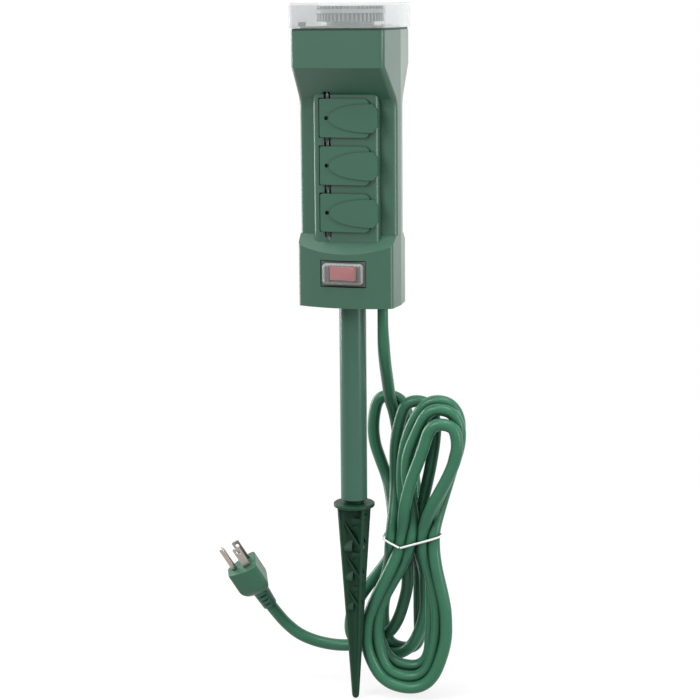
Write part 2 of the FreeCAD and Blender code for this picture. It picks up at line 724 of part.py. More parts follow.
def timer_deck():
    low = HOUSING_TOP - DECK_FLANGE_T
    deck = slab(WALL + FIT, low, HOUSING_TOP, 2.0)
    deck = deck.fuse(slab(DECK_INSET, HOUSING_TOP, deck_level(), 3.0))
    deck = deck.cut(slab(DECK_INSET + 2, low - 1, HOUSING_TOP + 0.4, 2.0))
    deck = deck.fuse(rod(SPINDLE_R + 3, V(0, 0, low), V(0, 0, deck_level())))
    posts = [rod(POST_R + 1.2, V(x, y, low), V(x, y, deck_level())) for x, y in post_spots()]
    deck = deck.fuse(posts)
    hole = rod(SPINDLE_R + ARBOR_CLEAR, V(0, 0, low - 1), V(0, 0, deck_level() + 1))
    lever = box(-1.4, 1.4, -TRIPPER_R - 2.4, -TRIPPER_R + 2.4, low - 1, deck_level() + 1)
    half = MODE_W / 2
    mode = box(MODE_X - half + 2, MODE_X + half - 2, MODE_Y - 1.3, MODE_Y + 1.3, low - 1, deck_level() + 1)
    return deck.cut([hole, lever, mode]).removeSplitter()


def cover_gasket():
    ring = slab(0.6, HOUSING_TOP, HOUSING_TOP + GASKET_T, 4.0)
    return ring.cut(slab(DECK_INSET - 0.3, HOUSING_TOP - 1, HOUSING_TOP + GASKET_T + 1, 3.2))


def lid_axis():
    return TOP_DEPTH + LID_HINGE_BACK, HOUSING_TOP + 0.7


def lid_ears():
    y, z = lid_axis()
    ears = []
    bore = rod(LID_PIN_D / 2 + 0.05, V(-HALF_W, y, z), V(HALF_W, y, z))
    for side in (-1, 1):
        x0 = side * (LID_BARREL_HALF + LID_EAR_GAP)
        x1 = side * (LID_BARREL_HALF + LID_EAR_GAP + LID_EAR_W)
        barrel = rod(LID_BARREL_D / 2, V(x0, y, z), V(x1, y, z))
        a, b = min(x0, x1), max(x0, x1)
        wall_y = TOP_DEPTH - 1.0
        web = prism(
            [
                (a, wall_y, z - 12),
                (a, wall_y, z - 0.5),
                (a, y, z - 0.5),
                (a, y + LID_BARREL_D / 2, z - 0.5),
                (a, y + 2, z - 3),
            ],
            V(b - a, 0, 0),
        )
        web = web.common(box(a, b, wall_y, y + LID_BARREL_D / 2, z - 20, HOUSING_TOP))
        ears.append(barrel.fuse(web).cut(bore))
    return ears


def lid_top_z():
    return ring_z() + DIAL_RING_T + DIAL_KNOB_H + LID_ROOM + LID_TOP_T


def clear_cover():
    bottom = HOUSING_TOP + GASKET_T + LID_GAP
    top = lid_top_z()
    outer = slab(-LID_PROUD, bottom, top, LID_CORNER_R)
    top_edges = [e for e in outer.Edges if min(p.Point.z for p in e.Vertexes) > top - 0.01]
    outer = outer.makeFillet(1.2, top_edges)
    inner = slab(-LID_PROUD + LID_WALL, bottom - 1, top - LID_TOP_T, LID_CORNER_R - LID_WALL)
    lid = outer.cut(inner)
    y, z = lid_axis()
    barrel = rod(LID_BARREL_D / 2, V(-LID_BARREL_HALF, y, z), V(LID_BARREL_HALF, y, z))
    wall_y = TOP_DEPTH + LID_PROUD - 0.6
    strap = box(-LID_BARREL_HALF, LID_BARREL_HALF, wall_y, y, bottom, bottom + 2.4)
    bore = rod(LID_PIN_D / 2 + 0.08, V(-HALF_W, y, z), V(HALF_W, y, z))
    lid = lid.fuse([barrel, strap]).cut(bore)
    catch_x = half_width(LID_CATCH_Y) + LID_PROUD - LID_WALL
    catch = box(catch_x - 1.6, catch_x + 0.6, -LID_CATCH_Y - 7, -LID_CATCH_Y + 7, bottom + 0.4, bottom + 6.5)
    return lid.fuse(catch).removeSplitter()


def cover_hinge_pin():
    y, z = lid_axis()
    reach = LID_BARREL_HALF + LID_EAR_GAP + LID_EAR_W
    return rod(LID_PIN_D / 2, V(-reach, y, z), V(reach, y, z))


# Dial, trippers and clockwork


def gear_blank(teeth, z, thick, centre, turn=0.0):
    """Spur gear with straight flanks, one tooth made and copied round."""
    pitch_r = teeth * GEAR_MODULE / 2
    tip_r = pitch_r + GEAR_MODULE * 0.9
    root_r = pitch_r - GEAR_MODULE * 1.25
    half = math.pi * GEAR_MODULE / 4 - GEAR_BACKLASH / 2
    points = []
    for k in range(teeth):
        mid = turn + 2 * math.pi * k / teeth
        for radius, wide in ((root_r, 1.75), (tip_r, 0.5)):
            points.append((radius, mid - half * wide / radius))
        for radius, wide in ((tip_r, 0.5), (root_r, 1.75)):
            points.append((radius, mid + half * wide / radius))
    flat = [(centre[0] + r * math.cos(a), centre[1] + r * math.sin(a), z) for r, a in points]
    return prism(flat, V(0, 0, thick))


def wheel_centre():
    pitch = (DIAL_TEETH + PINION_TEETH) * GEAR_MODULE / 2
    return 0.0, pitch + MESH_CLEAR


def motor_centre():
    apart = (WHEEL_TEETH + PINION_TEETH) * GEAR_MODULE / 2 + MESH_CLEAR
    x, y = wheel_centre()
    turn = math.radians(MOTOR_BEARING)
    return x + apart * math.cos(turn), y + apart * math.sin(turn)


def post_spots():
    """Four posts inside the box's walls, the rear left one a little further in."""
    left, right = -(HALF_W - POST_IN_X), POST_RIGHT_X
    front, rear = POST_FRONT_Y, TOP_DEPTH - POST_IN_Y
    return [(left, front), (right, front), (right, rear), (left + POST_REAR_SHIFT, rear)]


def dial_base_z():
    return deck_level() + DIAL_LIFT


def ring_z():
    return dial_base_z() + DIAL_RING_UNDER


def tripper_low_z():
    return dial_base_z() + TRIPPER_UNDER


def timer_dial():
    """Ring that holds the trippers, on a drum, with a low knob and the spindle."""
    base, under = dial_base_z(), ring_z()
    top = under + DIAL_RING_T
    dial = rod(DIAL_R, V(0, 0, under), V(0, 0, top))
    edge = [e for e in dial.Edges if min(p.Point.z for p in e.Vertexes) > top - 0.01]
    dial = dial.makeFillet(0.7, edge)
    drum = rod(DIAL_DRUM_R, V(0, 0, base), V(0, 0, under))
    knob = Part.makeCone(DIAL_KNOB_R, DIAL_KNOB_R - 0.8, DIAL_KNOB_H, V(0, 0, top))
    spindle = rod(SPINDLE_R, V(0, 0, DIAL_GEAR_Z + GEAR_T), V(0, 0, base))
    dial = dial.fuse([drum, knob, spindle])
    r, t = TRIPPER_RADIAL / 2 + TRIPPER_CLEAR, TRIPPER_TANGENT / 2 + TRIPPER_CLEAR
    slots = []
    for k in range(TRIPPERS):
        slot = box(TRIPPER_R - r, TRIPPER_R + r, -t, t, under - 1, top + 1)
        slot.rotate(O, Z, 360 * (k + 0.5) / TRIPPERS)
        slots.append(slot)
    return dial.cut(slots)


def trippers(quarter):
    """A quarter's twelve trippers, raised, each in its own slot."""
    r, t = TRIPPER_RADIAL / 2, TRIPPER_TANGENT / 2
    low = tripper_low_z()
    high = ring_z() + DIAL_RING_T + TRIPPER_TRAVEL
    count = TRIPPERS // 4
    pins = []
    for k in range(quarter * count, (quarter + 1) * count):
        pin = box(TRIPPER_R - r, TRIPPER_R + r, -t, t, low, high)
        pin.rotate(O, Z, 360 * (k + 0.5) / TRIPPERS)
        pins.append(pin)
    return group(pins)


def dial_gear():
    gear = gear_blank(DIAL_TEETH, DIAL_GEAR_Z, GEAR_T, (0, 0))
    foot = rod(SPINDLE_R - 1, V(0, 0, PLATE_Z + 0.3), V(0, 0, DIAL_GEAR_Z))
    return gear.fuse(foot)


def reduction_gear():
    """Large wheel and its small pinion, turning on a fixed arbor."""
    centre = wheel_centre()
    mesh = math.pi / PINION_TEETH
    wheel = gear_blank(WHEEL_TEETH, WHEEL_Z, GEAR_T - 0.5, centre)
    pinion = gear_blank(PINION_TEETH, WHEEL_Z, DIAL_GEAR_Z + GEAR_T - WHEEL_Z, centre, -math.pi / 2 + mesh)
    pair = wheel.fuse(pinion)
    x, y = centre
    return pair.cut(rod(ARBOR_R + ARBOR_CLEAR, V(x, y, WHEEL_Z - 1), V(x, y, DIAL_GEAR_Z + GEAR_T + 1)))


def motor_pinion():
    centre = motor_centre()
    facing = math.radians(MOTOR_BEARING - 180) + math.pi / PINION_TEETH
    pinion = gear_blank(PINION_TEETH, WHEEL_Z - 0.5, GEAR_T + 0.5, centre, facing)
    x, y = centre
    return pinion.fuse(rod(1.2, V(x, y, PLATE_Z - 2.5), V(x, y, WHEEL_Z)))


def timer_motor():
    x, y = motor_centre()
    can = rod(MOTOR_R, V(x, y, PLATE_Z - MOTOR_H), V(x, y, PLATE_Z))
    ring = [e for e in can.Edges if e.Vertexes[0].Point.z < PLATE_Z - MOTOR_H + 0.01]
    can = can.makeFillet(1.5, [e for e in ring if e.Curve.TypeId == "Part::GeomCircle"])
    return can.cut(rod(1.3, V(x, y, PLATE_Z - 3), V(x, y, PLATE_Z + 1)))


def timer_frame():
    """Clockwork plate hung from the deck on posts."""
    xs = [x for x, y in post_spots()]
    ys = [y for x, y in post_spots()]
    m = PLATE_MARGIN
    plate = box(min(xs) - m, max(xs) + m, min(ys) - m, max(ys) + m, PLATE_Z, PLATE_Z + PLATE_T)
    corners = upright_edges(plate, lambda p: True)
    plate = plate.makeFillet(4.0, corners)
    parts = [
        rod(POST_R, V(x, y, PLATE_Z), V(x, y, HOUSING_TOP - DECK_FLANGE_T)) for x, y in post_spots()
    ]
    x, y = wheel_centre()
    parts.append(rod(ARBOR_R, V(x, y, PLATE_Z), V(x, y, DIAL_GEAR_Z + GEAR_T + 0.8)))
    parts.append(rod(3.0, V(x, y, PLATE_Z), V(x, y, WHEEL_Z - 0.3)))
    frame = plate.fuse(parts)
    mx, my = motor_centre()
    holes = [
        rod(SPINDLE_R - 1 + ARBOR_CLEAR, V(0, 0, PLATE_Z - 1), V(0, 0, PLATE_Z + 5)),
        rod(1.8, V(mx, my, PLATE_Z - 1), V(mx, my, PLATE_Z + 5)),
    ]
    return frame.cut(holes)


def timer_switch():
    top = HOUSING_TOP - DECK_FLANGE_T
    body = box(-10, 10, -TRIPPER_R - 9.5, -TRIPPER_R - 3.0, top - 11, top)
    arm = box(-0.9, 0.9, -TRIPPER_R - 4.0, -TRIPPER_R + 1.8, top - 4, top - 3.2)
    tip = tripper_low_z() - TRIPPER_TRAVEL - LEVER_GAP
    finger = box(-0.9, 0.9, -TRIPPER_R - 1.2, -TRIPPER_R + 1.2, top - 4, tip)
    return body.fuse([arm, finger]).removeSplitter()


def dial_pointer():
    z = deck_level()
    y = -DIAL_R - 2.0
    return prism([(-2.2, y - 3.4, z), (2.2, y - 3.4, z), (0, y + 1.2, z)], V(0, 0, 1.4))


def mode_slide():
    """Slide knob for timed or constant current."""
    z = deck_level()
    half = MODE_W / 2
    x0 = MODE_X - half + 2.2
    knob = box(x0 - 1.6, x0 + 3.2, MODE_Y - 2.2, MODE_Y + 2.2, z + 0.3, z + 3.6)
    edges = [e for e in knob.Edges if min(p.Point.z for p in e.Vertexes) > z + 3.5]
    knob = knob.makeFillet(0.8, edges)
    stem = box(x0, x0 + 1.6, MODE_Y - 1.1, MODE_Y + 1.1, z - 5.5, z + 1)
    return knob.fuse(stem).removeSplitter()


# Lit switch


def switch_bezel():
    w, h = BEZEL_W / 2, BEZEL_H / 2
    back = BEZEL_FRONT + BEZEL_T
    frame = box(-w, w, BEZEL_FRONT, back, SWITCH_Z - h, SWITCH_Z + h)
    ww, wh = ROCKER_W / 2 + BEZEL_SHOW, ROCKER_H / 2 + BEZEL_SHOW
    window = box(-ww, ww, BEZEL_FRONT - 1, back + 1, SWITCH_Z - wh, SWITCH_Z + wh)
    frame = frame.cut(window)
    rim = [
        e
        for e in frame.Edges
        if max(p.Point.y for p in e.Vertexes) < BEZEL_FRONT + 0.01 and e.Length > 2 * h - 1
    ]
    rim = [e for e in rim if e.Length > 15]
    return frame.makeChamfer(0.8, [e for e in rim if max(abs(p.Point.x) for p in e.Vertexes) > w - 0.01])


def switch_body():
    back = BEZEL_FRONT + BEZEL_T
    w, h = SWITCH_BODY_W / 2, SWITCH_BODY_H / 2
    body = box(-w, w, back, back + SWITCH_BODY_T, SWITCH_Z - h, SWITCH_Z + h)
    cw, ch = ROCKER_W / 2 + ROCKER_PLAY, ROCKER_H / 2 + ROCKER_PLAY
    cavity = box(-cw, cw, back - 1, back + ROCKER_DEEP, SWITCH_Z - ch, SWITCH_Z + ch)
    pivot = rod(1.0, V(0, ROCKER_AXIS_Y, SWITCH_Z - 6.9), V(0, ROCKER_AXIS_Y, SWITCH_Z + 6.9))
    tabs = [
        box(x - 0.4, x + 0.4, back + SWITCH_BODY_T, back + SWITCH_BODY_T + 1.2, SWITCH_Z - 2.4, SWITCH_Z + 2.4)
        for x in (-7.5, 7.5)
    ]
    return body.cut([cavity, pivot]).fuse(tabs)


def switch_rocker():
    """Rocker pressed to its ON side at rest."""
    h = ROCKER_H / 2
    w = ROCKER_W / 2
    y = ROCKER_AXIS_Y
    z = SWITCH_Z - h
    front = [(-w, y - 6.0, z), (0, y - 4.6, z), (w, y - 6.0, z)]
    outline = front + [(w, y - 1.5, z), (0, y + 2.5, z), (-w, y - 1.5, z)]
    rocker = prism(outline, V(0, 0, ROCKER_H))
    front = [e for e in rocker.Edges if max(p.Point.y for p in e.Vertexes) < y - 4.5]
    level = [e for e in front if abs(e.Vertexes[0].Point.z - e.Vertexes[-1].Point.z) < 0.01]
    rocker = rocker.makeFillet(0.5, level)
    pivot = rod(0.9, V(0, y, SWITCH_Z - 6.6), V(0, y, SWITCH_Z + 6.6))
    rocker = rocker.fuse(pivot)
    rocker.rotate(V(0, y, SWITCH_Z), Z, -ROCKER_TILT)
    return rocker


def switch_boot():
    """Clear weather boot over the rocker."""
    w, h = BOOT_W / 2, BOOT_H / 2
    y0, y1 = BEZEL_FRONT - BOOT_PROUD, BEZEL_FRONT
    dome = box(-w, w, y0, y1, SWITCH_Z - h, SWITCH_Z + h)
    away = [e for e in dome.Edges if min(p.Point.y for p in e.Vertexes) < y1 - 0.01]
    dome = dome.makeFillet(3.2, away)
    t = BOOT_WALL
    hollow = box(-w + t, w - t, y0 + t, y1 + 1, SWITCH_Z - h + t, SWITCH_Z + h - t)
    away = [e for e in hollow.Edges if min(p.Point.y for p in e.Vertexes) < y1]
    return dome.cut(hollow.makeFillet(2.3, away))


def switch_lamp():
    back = BEZEL_FRONT + BEZEL_T + ROCKER_DEEP
    return rod(1.1, V(6.0, back - 1.15, SWITCH_Z - 4), V(6.0, back - 1.15, SWITCH_Z + 4))


# Pole and stake


def pole_bottom():
    return STAKE_TOP + COLLAR_T + NECK_H


def pole():
    return tube(POLE_D / 2, POLE_D / 2 - POLE_WALL, V(0, 0, pole_bottom()), V(0, 0, POLE_TOP))


def pole_socket():
    """Sleeve and end stop that carry the housing on the pole."""
    z0 = HOUSING_BOTTOM + WALL
    sleeve = rod(POLE_D / 2 + 2.0, V(0, 0, z0), V(0, 0, POLE_TOP + 3))
    return sleeve.cut(rod(POLE_D / 2 + 0.05, V(0, 0, z0 - 1), V(0, 0, POLE_TOP)))


def stake_section(z, ridge_r, ridge_w, flute_r):
    edges = []
    for k in range(4):
        a = math.radians(45 + 90 * k)
        b = math.radians(135 + 90 * k)
        out_a, side_a = V(math.cos(a), math.sin(a), 0), V(-math.sin(a), math.cos(a), 0)
        out_b, side_b = V(math.cos(b), math.sin(b), 0), V(-math.sin(b), math.cos(b), 0)
        m = (a + b) / 2
        lift = V(0, 0, z)
        p0 = out_a * ridge_r - side_a * (ridge_w / 2) + lift
        p1 = out_a * ridge_r + side_a * (ridge_w / 2) + lift
        p2 = V(math.cos(m) * flute_r, math.sin(m) * flute_r, z)
        p3 = out_b * ridge_r - side_b * (ridge_w / 2) + lift
        edges.append(Part.makeLine(p0, p1))
        edges.append(Part.Arc(p1, p2, p3).toShape())
    return Part.Wire(edges)


def ridge_radius(z):
    return RIDGE_R_TIP + (RIDGE_R_TOP - RIDGE_R_TIP) * z / STAKE_TOP


def stake_web(angle, top_z):
    """One slanting web across a flute."""
    reach = ridge_radius(top_z)
    half = 0.6 * reach
    drop = half * 1.5 * 2
    depth = 0.64 * ridge_radius(top_z - drop)
    points = [
        (half, 0, top_z - drop),
        (half, 0, top_z - drop + WEB_T * 1.8),
        (-half, 0, top_z + WEB_T * 1.8),
        (-half, 0, top_z),
    ]
    web = prism(points, V(0, -depth, 0))
    web.rotate(O, Z, angle)
    return web


def stake():
    tip = RIDGE_R_TIP
    body = Part.makeLoft(
        [
            stake_section(tip, RIDGE_R_TIP, RIDGE_W_TIP, FLUTE_R_TIP),
            stake_section(STAKE_TOP, RIDGE_R_TOP, RIDGE_W_TOP, FLUTE_R_TOP),
        ],
        True,
        True,
    )
    point = Part.makeSphere(RIDGE_R_TIP, V(0, 0, RIDGE_R_TIP))
    webs = []
    for k in range(4):
        for row in range(WEB_COUNT):
            webs.append(stake_web(90 * k, WEB_TOP_Z - row * WEB_PITCH))
    z = STAKE_TOP
    collar = rod(COLLAR_D / 2, V(0, 0, z), V(0, 0, z + COLLAR_T))
    rim = [e for e in collar.Edges if e.Curve.TypeId == "Part::GeomCircle"]
    collar = collar.makeFillet(0.8, rim)
    neck = rod(NECK_D / 2, V(0, 0, z + COLLAR_T), V(0, 0, pole_bottom()))
    spigot_r = POLE_D / 2 - POLE_WALL - 0.05
    spigot = rod(spigot_r, V(0, 0, pole_bottom()), V(0, 0, pole_bottom() + SPIGOT_H))
    lead_in = [e for e in spigot.Edges if min(p.Point.z for p in e.Vertexes) > pole_bottom() + SPIGOT_H - 0.01]
    spigot = spigot.makeChamfer(1.5, lead_in)
    ring_z = pole_bottom() - NECK_H / 2
    ring = rod(NECK_D / 2 + 0.9, V(0, 0, ring_z - 0.4), V(0, 0, ring_z + 0.4))
    return body.fuse([point, collar, neck, spigot, ring] + webs).removeSplitter()


# Cord grommet and plug


def cord_grommet():
    r = GROMMET_D / 2
    z = HOUSING_BOTTOM
    skirt = Part.makeCone(r - 1.0, r, GROMMET_DROP, V(CORD_X, 0, z - GROMMET_DROP))
    neck = rod(r - 1.2, V(CORD_X, 0, z), V(CORD_X, 0, z + WALL))
    head = rod(r, V(CORD_X, 0, z + WALL), V(CORD_X, 0, z + WALL + 2.5))
    return skirt.fuse([neck, head])


# Cord paths


def corner_radii(points):
    """Arc radius at each inner point of a run of straights."""
    radii = []
    for a, b, c in zip(points, points[1:], points[2:]):
        turn = (b - a).getAngle(c - b)
        shorter = min((b - a).Length, (c - b).Length)
        radii.append(0.45 * shorter / math.tan(turn / 2))
    return radii


def rounded_path(points):
    edges = []
    start = points[0]
    for a, b, c, radius in zip(points, points[1:], points[2:], corner_radii(points)):
        back_way, on_way = (a - b).normalize(), (c - b).normalize()
        half = (math.pi - back_way.getAngle(on_way)) / 2
        cut = radius * math.tan(half)
        first, last = b + back_way * cut, b + on_way * cut
        inward = (back_way + on_way).normalize()
        middle = b + inward * (radius / math.cos(half) - radius)
        edges.append(Part.makeLine(start, first))
        edges.append(Part.Arc(first, middle, last).toShape())
        start = last
    edges.append(Part.makeLine(start, points[-1]))
    return edges


def smooth(u):
    u = min(1.0, max(0.0, u))
    return u * u * (3 - 2 * u)


def smooth_rate(u):
    return 6 * u * (1 - u) if 0 < u < 1 else 0.0


def limb(slot, plane, side):
    """Nodes from a place at the tie out to a side; depth changes before breadth."""
    x0, y0, lean, up, down = SLOTS[slot]
    x1, z1, slope = side
    height = z1 - WAIST_Z
    early = up if height > 0 else down
    away = math.copysign(1, height)
    nodes = [(V(x0, y0, WAIST_Z), V(lean, 0, 1).normalize() * away)]
    for u in LIMB_STEPS:
        bend = slope * (u**3 - u**2) + lean * (u**3 - 2 * u**2 + u)
        bend_rate = slope * (3 * u**2 - 2 * u) + lean * (3 * u**2 - 4 * u + 1)
        x = x0 + (x1 - x0) * smooth(u) + bend * height
        y = y0 + (plane - y0) * smooth(u / early)
        dx = (x1 - x0) * smooth_rate(u) / height + bend_rate
        dy = (plane - y0) * smooth_rate(u / early) / (early * height)
        nodes.append((V(x, y, WAIST_Z + u * height), V(dx, dy, 1.0).normalize() * away))
    nodes.append((V(x1, plane, z1), V(slope, 0, 1).normalize() * away))
    return nodes


def backwards(nodes):
    return [(point, way * -1) for point, way in reversed(nodes)]


def hank_nodes():
    """Points and directions along the whole hank, one straight diameter at each end."""
    before, start = V(*LEAD_POINTS[-2]), V(*LEAD_POINTS[-1])
    way = (start - before).normalize()
    nodes = [(start, way), (start + way * CORD_D, way)]
    nodes += backwards(limb("lead", *LEAD_SIDE))
    for left, bend, right, lobe in CORD_ORDER:
        plane, left_side, crown, right_side = BENDS[bend]
        nodes += limb(left, plane, left_side)[1:]
        nodes.append((V(crown[0], plane, crown[1]), V(1, 0, 0)))
        nodes += backwards(limb(right, plane, right_side))
        plane, left_side, crown, right_side = LOBES[lobe]
        nodes += limb(right, plane, right_side)[1:]
        nodes.append((V(crown[0], plane, crown[1]), V(-1, 0, 0)))
        nodes += backwards(limb(lobe + "_L", plane, left_side))
    nodes += limb("C_L", *TAIL_SIDE)[1:]
    end, way = nodes[-1]
    nodes.append((end + way * CORD_D, way))
    return nodes


def arc_along(start, way, end):
    """The arc that leaves start along way and ends at end."""
    chord = end - start
    normal = (chord - way * chord.dot(way)).normalize()
    radius = chord.dot(chord) / (2 * chord.dot(normal))
    half = math.atan2(chord.dot(way), radius - chord.dot(normal)) / 2
    middle = start + way * (radius * math.sin(half)) + normal * (radius * (1 - math.cos(half)))
    return middle, radius


def biarc(p1, t1, p2, t2):
    gap, ways = p2 - p1, t1 + t2
    spread = 2 * (1 - t1.dot(t2))
    if spread < 1e-9:
        reach = gap.dot(gap) / (4 * gap.dot(t2))
    else:
        reach = (math.sqrt(gap.dot(ways) ** 2 + spread * gap.dot(gap)) - gap.dot(ways)) / spread
    joint = (p1 + t1 * reach + p2 - t2 * reach) * 0.5
    first, first_radius = arc_along(p1, t1, joint)
    second, second_radius = arc_along(p2, t2 * -1, joint)
    arcs = [Part.Arc(p1, first, joint), Part.Arc(joint, second, p2)]
    return arcs, [first_radius, second_radius]


def hank_path():
    curves, radii = [], []
    nodes = hank_nodes()
    for (p1, t1), (p2, t2) in zip(nodes, nodes[1:]):
        if (p2 - p1).cross(t1).Length < 1e-6 and (p2 - p1).cross(t2).Length < 1e-6:
            curves.append(Part.LineSegment(p1, p2))
        else:
            arcs, arc_radii = biarc(p1, t1, p2, t2)
            curves += arcs
            radii += arc_radii
    return curves, radii


def cord_tube(edges, radius):
    path = Part.Wire(edges)
    start = edges[0].valueAt(edges[0].FirstParameter)
    way = edges[0].tangentAt(edges[0].FirstParameter)
    ring = Part.Wire(Part.Circle(start, way, radius).toShape())
    return path.makePipeShell([ring], True, False)


def report_tube(name, edges, tube_solid, radius):
    length = sum(edge.Length for edge in edges)
    share = tube_solid.Volume / (math.pi * radius**2 * length)
    print("%s: %.1f mm long, volume over section times length %.4f" % (name, length, share))


def report_gap(curves):
    """Least gap of the hank to itself, measured on points 2 mm apart."""
    points = []
    for curve in curves:
        count = max(1, round(curve.length() / 2.0))
        first, last = curve.FirstParameter, curve.LastParameter
        for k in range(count):
            points.append(tuple(curve.value(first + (last - first) * k / count)))
    apart = round(3.6 * CORD_D / 2.0)
    least = 1e9
    for i, (x0, y0, z0) in enumerate(points):
        for x1, y1, z1 in points[i + apart :]:
            square = (x1 - x0) ** 2 + (y1 - y0) ** 2 + (z1 - z0) ** 2
            if square < least:
                least = square
    print("hank: least gap to itself %.2f mm on %d points" % (math.sqrt(least) - CORD_D, len(points)))


def cords():
    lead_points = [V(*p) for p in LEAD_POINTS]
    curves, radii = hank_path()
    end, way = hank_nodes()[-1]
    tail_points = [end] + [V(*p) for p in TAIL_POINTS] + [V(*PLUG_BACK)]
    made = {}
    for name, edges in (
        ("cord_lead", rounded_path(lead_points)),
        ("cord_hank", [curve.toShape() for curve in curves]),
        ("cord_tail", rounded_path(tail_points)),
    ):
        made[name] = cord_tube(edges, CORD_D / 2)
        report_tube(name, edges, made[name], CORD_D / 2)
    for name, points in (("cord_lead", lead_points), ("cord_tail", tail_points)):
        print(name, "radii", [round(r, 1) for r in corner_radii(points)])
        print(name, "runs", [round((b - a).Length, 1) for a, b in zip(points, points[1:])])
    print("cord_hank: least radius %.1f mm" % min(radii))
    report_gap(curves)
    return made


def cord_tie():
    """White tie round the hank's waist, a little aslant."""
    out = CORD_D / 2 + TIE_GAP + TIE_D / 2
    ring = ["B_L", "C_R", "D_R", "A_R", "lead", "A_L"]
    centres = [V(SLOTS[k][0], SLOTS[k][1], WAIST_Z) for k in ring]
    edges = []
    count = len(centres)
    sides = []
    for k in range(count):
        a, b = centres[k], centres[(k + 1) % count]
        way = (b - a).normalize()
        normal = way.cross(Z)
        sides.append((a + normal * out, b + normal * out, normal))
    for k in range(count):
        first, last, normal = sides[k]
        next_first, _, next_normal = sides[(k + 1) % count]
        corner = centres[(k + 1) % count]
        middle = corner + (normal + next_normal).normalize() * out
        edges.append(Part.makeLine(first, last))
        edges.append(Part.Arc(last, middle, next_first).toShape())
    tie = cord_tube(edges, TIE_D / 2)
    tie.rotate(V(centres[0].x + 23, centres[0].y, WAIST_Z), Y, -TIE_TILT)
    return tie


def plug_frame():
    way = V(*PLUG_WAY).normalize()
    across = Z.cross(way).normalize()
    up = way.cross(across)
    roll = math.radians(PLUG_ROLL)
    turned_across = across * math.cos(roll) - up * math.sin(roll)
    return V(*PLUG_BACK), way, turned_across, way.cross(turned_across)


def place_on_plug(shape):
    """Moves a shape drawn along +Z, blades apart along X, onto the plug's axis."""
    back, way, across, up = plug_frame()
    matrix = FreeCAD.Matrix(
        across.x, up.x, way.x, back.x, across.y, up.y, way.y, back.y, across.z, up.z, way.z, back.z, 0, 0, 0, 1
    )
    return shape.transformed(matrix)


def head_section(z, size):
    """Outline of the plug's head: wide at the blades, narrow at the ground pin."""
    w, n = HEAD_WIDE / 2 * size, HEAD_NARROW / 2 * size
    top, foot = HEAD_TOP * size, -HEAD_FOOT * size
    waist = top - 0.42 * (top - foot)
    corners = [V(w, top, z), V(-w, top, z), V(-w, waist, z), V(-n, foot, z), V(n, foot, z), V(w, waist, z)]
    edges = []
    for k, corner in enumerate(corners):
        before = (corners[k - 1] - corner).normalize()
        after = (corners[(k + 1) % len(corners)] - corner).normalize()
        half = before.getAngle(after) / 2
        cut = HEAD_CORNER_R * size / math.tan(half)
        inward = (before + after).normalize() * (HEAD_CORNER_R * size * (1 / math.sin(half) - 1))
        edges.append((corner + before * cut, corner + inward, corner + after * cut))
    lines = []
    for k, (first, middle, last) in enumerate(edges):
        lines.append(Part.Arc(first, middle, last).toShape())
        lines.append(Part.makeLine(last, edges[(k + 1) % len(edges)][0]))
    return Part.Wire(lines)


def plug_body():
    """Moulded plug: a slotted sleeve on the cord, a rounded shoulder and the head."""
    straight_z = RELIEF_L + 8.0
    shoulder = Part.makeLoft(
        [
            head_section(RELIEF_L - 0.6, 0.5),
            head_section(RELIEF_L + 1.4, 0.76),
            head_section(RELIEF_L + 4.4, 0.94),
            head_section(straight_z, 1.0),
        ],
        True,
    )
    head = Part.Face(head_section(straight_z, 1.0)).extrude(V(0, 0, PLUG_LENGTH - straight_z))
    rim = [e for e in head.Edges if min(p.Point.z for p in e.Vertexes) > PLUG_LENGTH - 0.01]
    head = head.makeFillet(0.8, rim)
    sleeve = Part.makeCone(RELIEF_R - 0.4, RELIEF_R + 0.5, RELIEF_L, O, Z)
    slots = []
    for k in range(RELIEF_SLOTS):
        z = 2.4 + k * (RELIEF_L - 3.0) / RELIEF_SLOTS
        for side in (-1, 1):
            x0, x1 = sorted((side * (CORD_D / 2 + 0.3), side * 10.0))
            slots.append(box(x0, x1, -10, 10, z, z + 1.7))
    body = sleeve.cut(slots).fuse([shoulder, head])
    return place_on_plug(body.removeSplitter())


def plug_blades():
    blades = []
    for x in (-BLADE_SPACING / 2, BLADE_SPACING / 2):
        t, w = BLADE_T / 2, BLADE_W / 2
        blade = box(x - t, x + t, BLADES_UP - w, BLADES_UP + w, PLUG_LENGTH, PLUG_LENGTH + BLADE_L)
        top = PLUG_LENGTH + BLADE_L
        tip = [
            e
            for e in blade.Edges
            if min(p.Point.z for p in e.Vertexes) > top - 0.01 and e.Length < BLADE_W - 1
        ]
        blade = blade.makeChamfer(0.5, tip)
        hole = rod(1.6, V(x - 2, BLADES_UP, top - 4.0), V(x + 2, BLADES_UP, top - 4.0))
        blades.append(blade.cut(hole))
    return place_on_plug(group(blades))


def plug_ground_pin():
    y = BLADES_UP - GROUND_DROP
    pin = rod(PIN_R, V(0, y, PLUG_LENGTH), V(0, y, PLUG_LENGTH + PIN_L - PIN_R))
    return place_on_plug(pin.fuse(Part.makeSphere(PIN_R, V(0, y, PLUG_LENGTH + PIN_L - PIN_R))))


